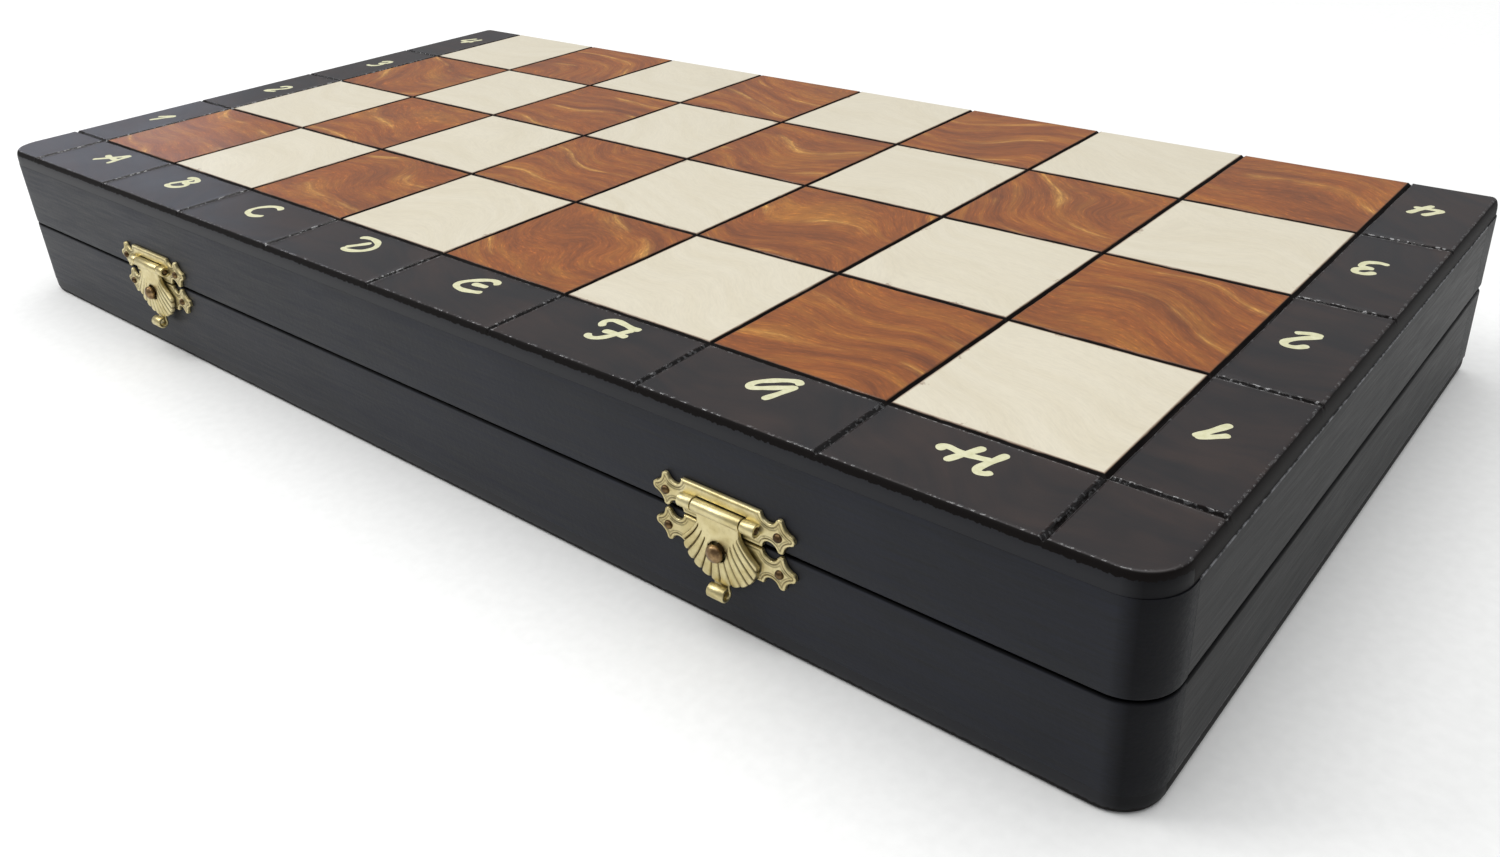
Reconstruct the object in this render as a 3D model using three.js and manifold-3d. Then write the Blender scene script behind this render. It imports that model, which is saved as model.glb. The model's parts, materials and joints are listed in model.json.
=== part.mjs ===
// Folding wooden chess case, closed, with its 32 chessmen inside.
// Millimetres, +Z up, +X along the files from A to H, latches at the front (-Y), fold at +Y.
// The origin is the bottom centre of the whole closed object, latches and hinge barrels included.
import * as THREE from 'three';
import { mergeVertices } from 'three/addons/utils/BufferGeometryUtils.js';
import Module from 'manifold-3d';

// Playing board
const squareSize = 40;
const filesAcross = 8;
const ranksPerHalf = 4;
const sideBorder = 19.5;
const frontBorder = 20.5;
const grooveWidth = 1.2;
const grooveDepth = 0.8;

// Case halves
const panelThickness = 4;
const panelEdgeInset = 1;
const panelEdgeDrop = 2.6;
const railThickness = 10;
const rimEase = 0.6;
const frontCornerRadius = 8.5;
const backCornerRadius = 2;
const cornerSegments = 4;
const glueLine = 0.1;
const rimGap = 0.3;

// Chessmen: base widths and heights as shares of a square
const kingBaseShare = 0.675;
const queenBaseShare = 0.625;
const officerBaseShare = 0.575;
const pawnBaseShare = 0.5;
const kingHeightShare = 1.62;
const queenHeightShare = 1.48;
const bishopHeightShare = 1.28;
const knightHeightShare = 1.15;
const rookHeightShare = 0.98;
const pawnHeightShare = 0.86;
const manSegments = 10;

// Insert trays
const trayFloor = 1.6;
const trayTopBelowRim = 3.5;
const trayWallGap = 0.6;
const manClearance = 0.4;
const manHeadroom = 7.1;
const zoneGap = 4;

// Latches
const latchFromCentre = 2.5 * squareSize;
const latchPlateLength = 32.4;
const latchPlateHeight = 7;
const latchPlateThickness = 0.8;
const latchSplit = 0.5;
const latchBackGap = 0.1;
const latchAxisUp = 3.7;
const latchAxisOut = 1.6;
const latchKnuckleRadius = 1.3;
const latchPinRadius = 0.6;
const latchKnuckleHalf = 5.5;
const latchBarrelHalf = 8.8;
const haspThickness = 0.8;
const haspNeckHalf = 4.8;
const haspFanHalf = 8.5;
const haspFanDrop = 10.6;
const haspTabWidth = 3.8;
const haspCurlRadius = 1.5;
const studRadius = 1.5;
const studDrop = 3.6;
const studProud = 4.4;
const studClearance = 0.6;

// Fold hinges
const hingeFromCentre = 2.5 * squareSize;
const hingeLength = 30;
const hingeLeafThickness = 1;
const hingeBarrelRadius = 1.9;
const hingePinRadius = 0.8;
const hingeKnuckleHalf = 5;
const hingeAxisOut = 0.15;

// Clearances
const pinClearance = 0.15;
const turnClearance = 0.3;

// Sizes that follow
const kingBase = kingBaseShare * squareSize;
const halfHeight = panelThickness + (trayFloor + kingBase + manHeadroom + rimGap) / 2;
const caseLength = filesAcross * squareSize + 2 * sideBorder;
const caseDepth = ranksPerHalf * squareSize + frontBorder;
const hingeProud = hingeAxisOut + hingeBarrelRadius;
const frontY = (studProud - caseDepth - hingeProud) / 2;
const backY = frontY + caseDepth;
const rimZ = halfHeight - rimGap / 2;
const railBase = panelThickness + glueLine;
const innerLength = caseLength - 2 * railThickness;
const innerFrontY = frontY + railThickness;
const innerBackY = backY - railThickness;
const zoneDepth = (innerBackY - innerFrontY - zoneGap) / 2;
const leafWidth = railThickness - 2;

const wasm = await Module();
wasm.setup();

// A closed three.js geometry as a solid that can be joined and cut
function solid(geometry) {
  const bare = geometry.clone();
  bare.deleteAttribute('normal');
  bare.deleteAttribute('uv');
  const merged = mergeVertices(bare, 1e-4);
  return new wasm.Manifold(new wasm.Mesh({
    numProp: 3,
    vertProperties: new Float32Array(merged.attributes.position.array),
    triVerts: new Uint32Array(merged.index.array),
  }));
}

function geometryOf(body) {
  const mesh = body.getMesh();
  const geometry = new THREE.BufferGeometry();
  geometry.setAttribute('position', new THREE.BufferAttribute(mesh.vertProperties, 3));
  geometry.setIndex(new THREE.BufferAttribute(mesh.triVerts, 1));
  geometry.computeVertexNormals();
  return geometry;
}

// Box given by its two corners
function box(x0, x1, y0, y1, z0, z1) {
  const geometry = new THREE.BoxGeometry(x1 - x0, y1 - y0, z1 - z0);
  geometry.translate((x0 + x1) / 2, (y0 + y1) / 2, (z0 + z1) / 2);
  return solid(geometry);
}

// Cylinder along X between x0 and x1
function rod(radius, x0, x1, y, z, segments = 16) {
  const geometry = new THREE.CylinderGeometry(radius, radius, x1 - x0, segments);
  geometry.rotateZ(Math.PI / 2);
  geometry.translate((x0 + x1) / 2, y, z);
  return solid(geometry);
}

// Shape drawn on a front face, its x to the right and its y up, pushed out towards -Y
function facePlate(shape, backOut, thickness, curveSegments = 4) {
  const geometry = new THREE.ExtrudeGeometry(shape, {
    depth: thickness,
    bevelEnabled: false,
    curveSegments,
  });
  geometry.rotateX(Math.PI / 2);
  geometry.translate(0, -backOut, 0);
  return solid(geometry);
}

const materials = {
  black: new THREE.MeshStandardMaterial({ color: 0x2b2b2e, roughness: 0.5, metalness: 0 }),
  board: new THREE.MeshStandardMaterial({ color: 0x9a5a28, roughness: 0.45, metalness: 0 }),
  brass: new THREE.MeshStandardMaterial({ color: 0xc0ab70, roughness: 0.38, metalness: 1 }),
  patina: new THREE.MeshStandardMaterial({ color: 0x4a3626, roughness: 0.5, metalness: 0.8 }),
  felt: new THREE.MeshStandardMaterial({ color: 0x1d4a31, roughness: 0.95, metalness: 0 }),
  maple: new THREE.MeshStandardMaterial({ color: 0xe2cc9a, roughness: 0.4, metalness: 0 }),
  walnut: new THREE.MeshStandardMaterial({ color: 0x5b3219, roughness: 0.4, metalness: 0 }),
};

function piece(parent, name, body, material, x = 0, y = 0, z = 0) {
  const mesh = new THREE.Mesh(geometryOf(body), materials[material]);
  mesh.name = name;
  mesh.position.set(x, y, z);
  parent.add(mesh);
  return mesh;
}

// Case outline seen from above: wide round front corners, small back corners
function caseOutline() {
  const half = caseLength / 2;
  const front = frontCornerRadius;
  const back = backCornerRadius;
  const shape = new THREE.Shape();
  shape.moveTo(-half + front, frontY);
  shape.lineTo(half - front, frontY);
  shape.absarc(half - front, frontY + front, front, -Math.PI / 2, 0, false);
  shape.lineTo(half, backY - back);
  shape.absarc(half - back, backY - back, back, 0, Math.PI / 2, false);
  shape.lineTo(-half + back, backY);
  shape.absarc(-half + back, backY - back, back, Math.PI / 2, Math.PI, false);
  shape.lineTo(-half, frontY + front);
  shape.absarc(-half + front, frontY + front, front, Math.PI, 1.5 * Math.PI, false);
  return shape;
}

const spanX = caseLength;
const belowAll = -10;
const aboveAll = 10;

// V groove along a line in the playing face, which is at z = 0 and faces down
function groove(length) {
  const shape = new THREE.Shape();
  shape.moveTo(-grooveWidth, -grooveDepth);
  shape.lineTo(grooveWidth, -grooveDepth);
  shape.lineTo(0, grooveDepth);
  const geometry = new THREE.ExtrudeGeometry(shape, { depth: length, bevelEnabled: false });
  geometry.translate(0, 0, -length / 2);
  return geometry;
}

// Plywood panel with eased outer edges and the burnt groove grid
function playingPanel() {
  const geometry = new THREE.ExtrudeGeometry(caseOutline(), {
    depth: panelThickness,
    bevelEnabled: true,
    bevelThickness: panelEdgeDrop,
    bevelSize: panelEdgeInset,
    bevelOffset: -panelEdgeInset,
    bevelSegments: 2,
    curveSegments: cornerSegments,
  });
  geometry.translate(0, 0, panelEdgeDrop);
  let panel = solid(geometry);
  const over = panelThickness + aboveAll;
  panel = panel.subtract(box(-spanX, spanX, frontY - 9, backY + 9, panelThickness, over));
  const boardX = -filesAcross * squareSize / 2;
  for (let file = 0; file <= filesAcross; file += 1) {
    const line = groove(2 * caseDepth);
    line.rotateX(Math.PI / 2);
    line.rotateY(Math.PI);
    line.scale(-1, 1, -1);
    line.translate(boardX + file * squareSize, (frontY + backY) / 2, 0);
    panel = panel.subtract(solid(line));
  }
  for (let rank = 0; rank < ranksPerHalf; rank += 1) {
    const line = groove(2 * caseLength);
    line.rotateX(Math.PI / 2);
    line.rotateZ(Math.PI / 2);
    line.translate(0, frontY + frontBorder + rank * squareSize, 0);
    panel = panel.subtract(solid(line));
  }
  return panel;
}

// Ring of the four rails before it is parted
function railRing() {
  const shape = caseOutline();
  const hole = new THREE.Path();
  const x = innerLength / 2;
  hole.moveTo(-x, innerFrontY);
  hole.lineTo(-x, innerBackY);
  hole.lineTo(x, innerBackY);
  hole.lineTo(x, innerFrontY);
  shape.holes.push(hole);
  const geometry = new THREE.ExtrudeGeometry(shape, {
    depth: halfHeight,
    bevelEnabled: true,
    bevelThickness: rimEase,
    bevelSize: rimEase,
    bevelOffset: -rimEase,
    bevelSegments: 1,
    curveSegments: cornerSegments,
  });
  geometry.translate(0, 0, rimZ - halfHeight - rimEase);
  const below = box(-spanX, spanX, frontY - 9, backY + 9, belowAll - 9, railBase);
  return solid(geometry).subtract(below);
}

// Corner block of one finger, at a corner given by its signs
function cornerFinger(side, isBack, grow) {
  const third = (rimZ - railBase) / 3;
  const x0 = innerLength / 2 - grow;
  const x1 = caseLength / 2 + 2;
  const y0 = isBack ? innerBackY - grow : frontY - 2;
  const y1 = isBack ? backY + 2 : innerFrontY + grow;
  const z0 = railBase + third - grow;
  const z1 = railBase + 2 * third + grow;
  return side < 0 ? box(-x1, -x0, y0, y1, z0, z1) : box(x0, x1, y0, y1, z0, z1);
}

// Front or back rail: full length, with a slot for each side rail's middle finger
function longRail(ring, isBack) {
  const y0 = isBack ? innerBackY : frontY - 2;
  const y1 = isBack ? backY + 2 : innerFrontY;
  let rail = ring.intersect(box(-spanX, spanX, y0, y1, belowAll, halfHeight + aboveAll));
  for (const side of [-1, 1]) {
    rail = rail.subtract(cornerFinger(side, isBack, glueLine / 2));
  }
  return rail;
}

// Side rail: between the long rails, with a finger through each of them
function sideRail(ring, side) {
  const x0 = innerLength / 2;
  const x1 = caseLength / 2 + 2;
  const y0 = innerFrontY + glueLine;
  const y1 = innerBackY - glueLine;
  const top = halfHeight + aboveAll;
  let zone = side < 0 ? box(-x1, -x0, y0, y1, belowAll, top) : box(x0, x1, y0, y1, belowAll, top);
  for (const isBack of [false, true]) {
    zone = zone.add(cornerFinger(side, isBack, -glueLine / 2).intersect(
      box(-spanX, spanX, frontY - 3, backY + 3, belowAll, top)));
  }
  const bridge = (rimZ - railBase) / 3;
  const b0 = railBase + bridge + glueLine / 2;
  const b1 = railBase + 2 * bridge - glueLine / 2;
  const reach = glueLine * 2;
  for (const y of [innerFrontY, innerBackY]) {
    const link = side < 0 ? box(-x1, -x0 - glueLine, y - reach, y + reach, b0, b1)
      : box(x0 + glueLine, x1, y - reach, y + reach, b0, b1);
    zone = zone.add(link);
  }
  return ring.intersect(zone);
}

// Round notch and shallow mortises that each back rail needs for the two hinges
function hingeRecess() {
  let recess = null;
  const axisY = backY + hingeAxisOut;
  const half = hingeLength / 2 + turnClearance;
  const floor = rimZ - hingeLeafThickness - 0.2;
  for (const side of [-1, 1]) {
    const x = side * hingeFromCentre;
    const notch = rod(hingeBarrelRadius + turnClearance, x - half, x + half, axisY, halfHeight);
    const mortiseY = axisY - hingeBarrelRadius / 2 - leafWidth - turnClearance;
    const mortise = box(x - half, x + half, mortiseY, axisY, floor, halfHeight + 1);
    const both = notch.add(mortise);
    recess = recess ? recess.add(both) : both;
  }
  return recess;
}

// One hinge leaf about the axis at y = 0, z = 0; the plate lies below the axis
function hingeLeaf(isMiddle) {
  const half = hingeLength / 2;
  const gap = 0.2;
  const top = -rimGap / 2;
  const hole = hingePinRadius + pinClearance;
  const far = -hingeBarrelRadius / 2 - leafWidth;
  const near = -hole - 0.25;
  let leaf = box(-half, half, far, near, top - hingeLeafThickness, top);
  const clear = hingeBarrelRadius + turnClearance;
  const middle = [-hingeKnuckleHalf, hingeKnuckleHalf];
  const left = [-half, -hingeKnuckleHalf - gap];
  const right = [hingeKnuckleHalf + gap, half];
  const own = isMiddle ? [middle] : [left, right];
  const other = isMiddle ? [[-half - 1, -hingeKnuckleHalf], [hingeKnuckleHalf, half + 1]]
    : [[-hingeKnuckleHalf - gap, hingeKnuckleHalf + gap]];
  for (const [x0, x1] of other) {
    leaf = leaf.subtract(rod(clear, x0, x1, 0, 0, 12));
  }
  for (const [x0, x1] of own) {
    leaf = leaf.add(rod(hingeBarrelRadius, x0, x1, 0, 0, 12));
    leaf = leaf.subtract(rod(hole, x0 - 1, x1 + 1, 0, 0, 12));
  }
  return leaf;
}

// Latch plate outline, drawn about its centre: a bar with a three-pointed star at each end,
// a round notch above and below each star
function latchPlateShape() {
  const top = latchPlateHeight / 2;
  const tip = latchPlateLength / 2;
  const notch = 0.26 * latchPlateHeight;
  const starX = tip - 0.47 * latchPlateHeight;
  const notchX = starX - 0.29 * latchPlateHeight;
  const point = 0.44 * latchPlateHeight;
  const hollow = 0.17 * latchPlateHeight;
  const bar = notchX - notch;
  const shape = new THREE.Shape();
  const star = (side) => {
    const s = side;
    shape.lineTo(s * bar, s * top);
    shape.quadraticCurveTo(s * bar, s * (top - notch), s * notchX, s * (top - notch));
    shape.quadraticCurveTo(s * (starX - hollow / 2), s * (top - notch), s * starX, s * point);
    shape.quadraticCurveTo(s * (starX + hollow / 2), s * hollow, s * (starX + hollow), s * hollow);
    shape.lineTo(s * tip, 0);
    shape.lineTo(s * (starX + hollow), -s * hollow);
    shape.quadraticCurveTo(s * (starX + hollow / 2), -s * hollow, s * starX, -s * point);
    shape.quadraticCurveTo(s * (starX - hollow / 2), -s * (top - notch), s * notchX, -s * (top - notch));
    shape.quadraticCurveTo(s * bar, -s * (top - notch), s * bar, -s * top);
  };
  shape.moveTo(-bar, top);
  star(1);
  star(-1);
  return shape;
}

// Hasp face outline about the latch axis: neck, scalloped shell and tab root
function haspShape() {
  const drop = haspFanDrop + latchAxisUp;
  const tab = haspTabWidth / 2;
  const wide = -0.52 * drop;
  const shape = new THREE.Shape();
  shape.moveTo(-haspNeckHalf, 0);
  shape.quadraticCurveTo(-haspNeckHalf - 0.4, 0.55 * wide, -haspFanHalf, wide);
  shape.quadraticCurveTo(-haspFanHalf + 0.2, wide - 2.2, -0.62 * haspFanHalf, -0.8 * drop);
  shape.quadraticCurveTo(-0.42 * haspFanHalf, -0.96 * drop, -tab, -drop);
  shape.lineTo(tab, -drop);
  shape.quadraticCurveTo(0.42 * haspFanHalf, -0.96 * drop, 0.62 * haspFanHalf, -0.8 * drop);
  shape.quadraticCurveTo(haspFanHalf - 0.2, wide - 2.2, haspFanHalf, wide);
  shape.quadraticCurveTo(haspNeckHalf + 0.4, 0.55 * wide, haspNeckHalf, 0);
  return shape;
}

// Rolled finger tab: a strip curled outwards, seen along X with x outwards and y up
function haspTab() {
  const inner = haspCurlRadius - haspThickness;
  const shape = new THREE.Shape();
  const centre = haspCurlRadius;
  const end = 2 * Math.PI + 1.75;
  shape.moveTo(0, 0.6);
  shape.lineTo(0, -haspCurlRadius);
  shape.absarc(centre, -haspCurlRadius, haspCurlRadius, Math.PI, end, false);
  shape.absarc(centre, -haspCurlRadius, inner, end, Math.PI, true);
  shape.lineTo(haspThickness, 0.6);
  const geometry = new THREE.ExtrudeGeometry(shape, {
    depth: haspTabWidth,
    bevelEnabled: false,
    curveSegments: 7,
  });
  geometry.translate(0, 0, -haspTabWidth / 2);
  const outwards = new THREE.Vector3(0, -1, 0);
  const up = new THREE.Vector3(0, 0, 1);
  const along = new THREE.Vector3(-1, 0, 0);
  geometry.applyMatrix4(new THREE.Matrix4().makeBasis(outwards, up, along));
  return solid(geometry);
}

// Upper latch plate about its centre, with the two fixed knuckles and the window between them
function upperLatchPlate() {
  const axisUp = latchAxisUp - latchSplit / 2 - latchPlateHeight / 2;
  const windowHalf = latchKnuckleHalf + turnClearance;
  const reach = latchKnuckleRadius + turnClearance;
  const back = latchBackGap;
  let plate = facePlate(latchPlateShape(), back, latchPlateThickness);
  plate = plate.subtract(box(-windowHalf, windowHalf, -5, 5, axisUp - reach, axisUp + reach));
  for (const side of [-1, 1]) {
    const x0 = side < 0 ? -latchBarrelHalf : windowHalf;
    const x1 = side < 0 ? -windowHalf : latchBarrelHalf;
    const boss = rod(latchKnuckleRadius, x0, x1, -latchAxisOut, axisUp, 12);
    plate = plate.add(boss);
  }
  const hole = latchPinRadius + pinClearance;
  plate = plate.subtract(rod(hole, -latchBarrelHalf - 1, latchBarrelHalf + 1, -latchAxisOut, axisUp, 12));
  return plate;
}

// Hasp about the latch axis: knuckle, shell with the stud hole, curled tab
function hasp() {
  const out = -haspThickness / 2 + 0.1;
  const drop = haspFanDrop + latchAxisUp;
  let body = facePlate(haspShape(), out, haspThickness, 5);
  body = body.add(rod(latchKnuckleRadius, -latchKnuckleHalf, latchKnuckleHalf, 0, 0, 12));
  const hole = latchPinRadius + pinClearance;
  body = body.subtract(rod(hole, -latchKnuckleHalf - 1, latchKnuckleHalf + 1, 0, 0, 12));
  const tab = haspTab().translate(0, -out, -drop);
  body = body.add(tab);
  const bore = new THREE.CylinderGeometry(studRadius + studClearance, studRadius + studClearance, 6, 12);
  bore.translate(0, 0, -latchAxisUp - studDrop);
  return body.subtract(solid(bore));
}

// Domed stud standing on the lower plate, its axis towards the front
function latchStud() {
  const foot = latchBackGap + latchPlateThickness + 0.05;
  const dome = 0.6 * studRadius;
  const points = [new THREE.Vector2(0, foot)];
  points.push(new THREE.Vector2(studRadius, foot));
  points.push(new THREE.Vector2(studRadius, studProud - dome));
  points.push(new THREE.Vector2(0.72 * studRadius, studProud - 0.3 * dome));
  points.push(new THREE.Vector2(0, studProud));
  const geometry = new THREE.LatheGeometry(points, 10);
  geometry.rotateX(Math.PI);
  return solid(geometry);
}

// Turned profile from shares of the base radius and of the height, revolved about Y
function turned(baseWidth, height, profile) {
  const points = profile.map(([r, h]) => new THREE.Vector2(r * baseWidth / 2, h * height));
  return solid(new THREE.LatheGeometry(points, manSegments));
}

const baseProfile = [[0, 0], [1, 0], [1, 0.07], [0.72, 0.16]];

function kingBody(width, height) {
  const rise = [[0.36, 0.4], [0.36, 0.58], [0.6, 0.63], [0.4, 0.67], [0.62, 0.86], [0, 0.91]];
  const body = turned(width, height, [...baseProfile, ...rise]);
  const bar = 0.055 * height;
  const post = box(-bar / 2, bar / 2, 0.88 * height, height, -bar / 2, bar / 2);
  const arm = box(-bar * 1.2, bar * 1.2, 0.93 * height, 0.965 * height, -bar / 2, bar / 2);
  return body.add(post).add(arm);
}

function queenBody(width, height) {
  const rise = [[0.36, 0.42], [0.36, 0.6], [0.6, 0.65], [0.4, 0.69], [0.64, 0.89], [0.25, 0.91],
    [0.22, 0.96], [0, 1]];
  return turned(width, height, [...baseProfile, ...rise]);
}

function bishopBody(width, height) {
  const rise = [[0.36, 0.42], [0.34, 0.55], [0.58, 0.6], [0.34, 0.64], [0.48, 0.76], [0.14, 0.92],
    [0.16, 0.96], [0, 1]];
  const body = turned(width, height, [...baseProfile, ...rise]);
  const cut = new THREE.BoxGeometry(width / 2, 0.03 * height, width);
  cut.rotateZ(0.9);
  cut.translate(0.3 * width, 0.83 * height, 0);
  return body.subtract(solid(cut));
}

// Knight: a turned foot under a sawn horse head
function knightBody(width, height) {
  const foot = turned(width, height, [...baseProfile, [0.62, 0.3], [0.66, 0.36], [0, 0.36]]);
  const w = width / 2;
  const shape = new THREE.Shape();
  shape.moveTo(-0.62 * w, 0.33 * height);
  shape.quadraticCurveTo(-0.9 * w, 0.66 * height, -0.3 * w, 0.9 * height);
  shape.lineTo(-0.12 * w, height);
  shape.lineTo(0.08 * w, 0.9 * height);
  shape.quadraticCurveTo(0.5 * w, 0.86 * height, 0.86 * w, 0.68 * height);
  shape.lineTo(0.76 * w, 0.6 * height);
  shape.quadraticCurveTo(0.42 * w, 0.66 * height, 0.24 * w, 0.6 * height);
  shape.quadraticCurveTo(0.6 * w, 0.46 * height, 0.6 * w, 0.33 * height);
  const thick = 0.62 * w;
  const head = new THREE.ExtrudeGeometry(shape, {
    depth: thick,
    bevelEnabled: false,
    curveSegments: 4,
  });
  head.translate(0, 0, -thick / 2);
  return foot.add(solid(head));
}

function rookBody(width, height) {
  const rise = [[0.52, 0.45], [0.5, 0.62], [0.72, 0.72], [0.72, 1], [0.46, 1], [0.46, 0.88],
    [0, 0.88]];
  let body = turned(width, height, [...baseProfile, ...rise]);
  const slot = 0.09 * width;
  const y0 = 0.92 * height;
  body = body.subtract(box(-width, width, y0, height + 1, -slot, slot));
  return body.subtract(box(-slot, slot, y0, height + 1, -width, width));
}

function pawnBody(width, height) {
  const rise = [[0.36, 0.48], [0.62, 0.6], [0.32, 0.67], [0.52, 0.82], [0.34, 0.96], [0, 1]];
  return turned(width, height, [...baseProfile, ...rise]);
}

const king = { build: kingBody, base: kingBaseShare, height: kingHeightShare };
const queen = { build: queenBody, base: queenBaseShare, height: queenHeightShare };
const bishop = { build: bishopBody, base: officerBaseShare, height: bishopHeightShare };
const knight = { build: knightBody, base: officerBaseShare, height: knightHeightShare };
const rook = { build: rookBody, base: officerBaseShare, height: rookHeightShare };
const pawn = { build: pawnBody, base: pawnBaseShare, height: pawnHeightShare };

// Columns of the tray from left to right: pawns stand two to a column, base to base
const trayColumns = [
  ['pawn_a', 'pawn_b'], ['pawn_c', 'pawn_d'], ['rook_a'], ['knight_b'], ['bishop_c'], ['queen'],
  ['king'], ['bishop_f'], ['knight_g'], ['rook_h'], ['pawn_e', 'pawn_f'], ['pawn_g', 'pawn_h'],
];

function kindOf(name) {
  const kinds = { king, queen, bishop, knight, rook, pawn };
  return kinds[name.split('_')[0]];
}

// Where each man lies in a half: its base centre and the way its head points (+1 is +Y)
function manPlaces(zoneFrontY) {
  const widths = trayColumns.map((names) => kindOf(names[0]).base * squareSize);
  const total = widths.reduce((sum, width) => sum + width, 0);
  const gap = (innerLength - total) / (trayColumns.length + 1);
  const middleY = zoneFrontY + zoneDepth / 2;
  const places = [];
  let x = -innerLength / 2 + gap;
  trayColumns.forEach((names, column) => {
    const centre = x + widths[column] / 2;
    const kind = kindOf(names[0]);
    const height = kind.height * squareSize;
    const radius = widths[column] / 2;
    const z = panelThickness + trayFloor + manClearance + radius;
    if (names.length === 2) {
      const half = 0.4 + manClearance;
      places.push({ name: names[0], kind, x: centre, y: middleY - half, z, radius, height, way: -1 });
      places.push({ name: names[1], kind, x: centre, y: middleY + half, z, radius, height, way: 1 });
    } else {
      const way = column % 2 ? -1 : 1;
      places.push({ name: names[0], kind, x: centre, y: middleY - way * height / 2, z, radius, height, way });
    }
    x += widths[column] + gap;
  });
  return places;
}

// Flocked insert with one trough to each column of men
function insertTray(zoneFrontY, places) {
  const x = innerLength / 2 - trayWallGap;
  const y0 = zoneFrontY + trayWallGap;
  const y1 = zoneFrontY + zoneDepth - trayWallGap;
  const top = rimZ - trayTopBelowRim;
  let tray = box(-x, x, y0, y1, panelThickness + glueLine, top);
  for (const place of places) {
    const radius = place.radius + manClearance;
    const low = Math.min(place.y, place.y + place.way * place.height) - manClearance;
    const high = Math.max(place.y, place.y + place.way * place.height) + manClearance;
    const shape = new THREE.Shape();
    shape.moveTo(-radius, top);
    shape.lineTo(-radius, 0);
    shape.absarc(0, 0, radius, Math.PI, 2 * Math.PI, false);
    shape.lineTo(radius, top);
    const trough = new THREE.ExtrudeGeometry(shape, {
      depth: high - low,
      bevelEnabled: false,
      curveSegments: 6,
    });
    trough.rotateX(Math.PI / 2);
    trough.translate(place.x, high, place.z);
    tray = tray.subtract(solid(trough));
  }
  return tray;
}

// One half in its own frame: playing face down at z = 0, rim up
function makeHalf(half, colour, wood, zoneFrontY) {
  const group = new THREE.Group();
  piece(group, `${half}_playing_panel`, playingPanel(), 'board');
  const ring = railRing();
  piece(group, `${half}_front_rail`, longRail(ring, false), 'black');
  piece(group, `${half}_back_rail`, longRail(ring, true).subtract(hingeRecess()), 'black');
  piece(group, `${half}_left_rail`, sideRail(ring, half === 'lower' ? -1 : 1), 'black');
  piece(group, `${half}_right_rail`, sideRail(ring, half === 'lower' ? 1 : -1), 'black');
  const places = manPlaces(zoneFrontY);
  piece(group, `${half}_insert_tray`, insertTray(zoneFrontY, places), 'felt');
  for (const place of places) {
    const width = place.kind.base * squareSize;
    const body = place.kind.build(width, place.height);
    const mesh = piece(group, `${colour}_${place.name}`, body, wood, place.x, place.y, place.z);
    mesh.rotation.z = place.way > 0 ? 0 : Math.PI;
  }
  for (const side of [-1, 1]) {
    const word = (side < 0) === (half === 'lower') ? 'left' : 'right';
    const leaf = hingeLeaf(half === 'upper');
    const name = `hinge_${word}_${half}_leaf`;
    piece(group, name, leaf, 'brass', side * hingeFromCentre, backY + hingeAxisOut, halfHeight);
  }
  return group;
}

const chessCase = new THREE.Group();
const lowerHalf = makeHalf('lower', 'white', 'maple', innerFrontY);
chessCase.add(lowerHalf);
const upperHalf = makeHalf('upper', 'black', 'walnut', innerBackY - zoneDepth);
upperHalf.rotation.y = Math.PI;
upperHalf.position.z = 2 * halfHeight;
chessCase.add(upperHalf);

for (const side of [-1, 1]) {
  const word = side < 0 ? 'left' : 'right';
  const hingePin = rod(hingePinRadius, -hingeLength / 2, hingeLength / 2, 0, 0, 12);
  const hingeX = side * hingeFromCentre;
  piece(chessCase, `hinge_${word}_pin`, hingePin, 'brass', hingeX, backY + hingeAxisOut, halfHeight);

  const latch = new THREE.Group();
  latch.position.set(side * latchFromCentre, frontY, halfHeight);
  chessCase.add(latch);
  const plateUp = latchSplit / 2 + latchPlateHeight / 2;
  piece(latch, `latch_${word}_upper_plate`, upperLatchPlate(), 'brass', 0, 0, plateUp);
  const lowerPlate = facePlate(latchPlateShape(), latchBackGap, latchPlateThickness);
  piece(latch, `latch_${word}_lower_plate`, lowerPlate, 'brass', 0, 0, -plateUp);
  const pin = rod(latchPinRadius, -latchBarrelHalf, latchBarrelHalf, 0, 0, 12);
  piece(latch, `latch_${word}_pin`, pin, 'brass', 0, -latchAxisOut, latchAxisUp);
  piece(latch, `latch_${word}_hasp`, hasp(), 'brass', 0, -latchAxisOut, latchAxisUp);
  piece(latch, `latch_${word}_stud`, latchStud(), 'patina', 0, 0, -studDrop);
}

export default chessCase;
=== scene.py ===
# Folding chess case, closed, with brass latches, fold hinges and the 32 chessmen in their trays.
# Sizes are millimetres until a mesh is made; the frame and every finished mesh are in metres.
import json
import math
from functools import partial
import bmesh
import bpy
import numpy as np
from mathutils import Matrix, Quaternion, Vector


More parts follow.
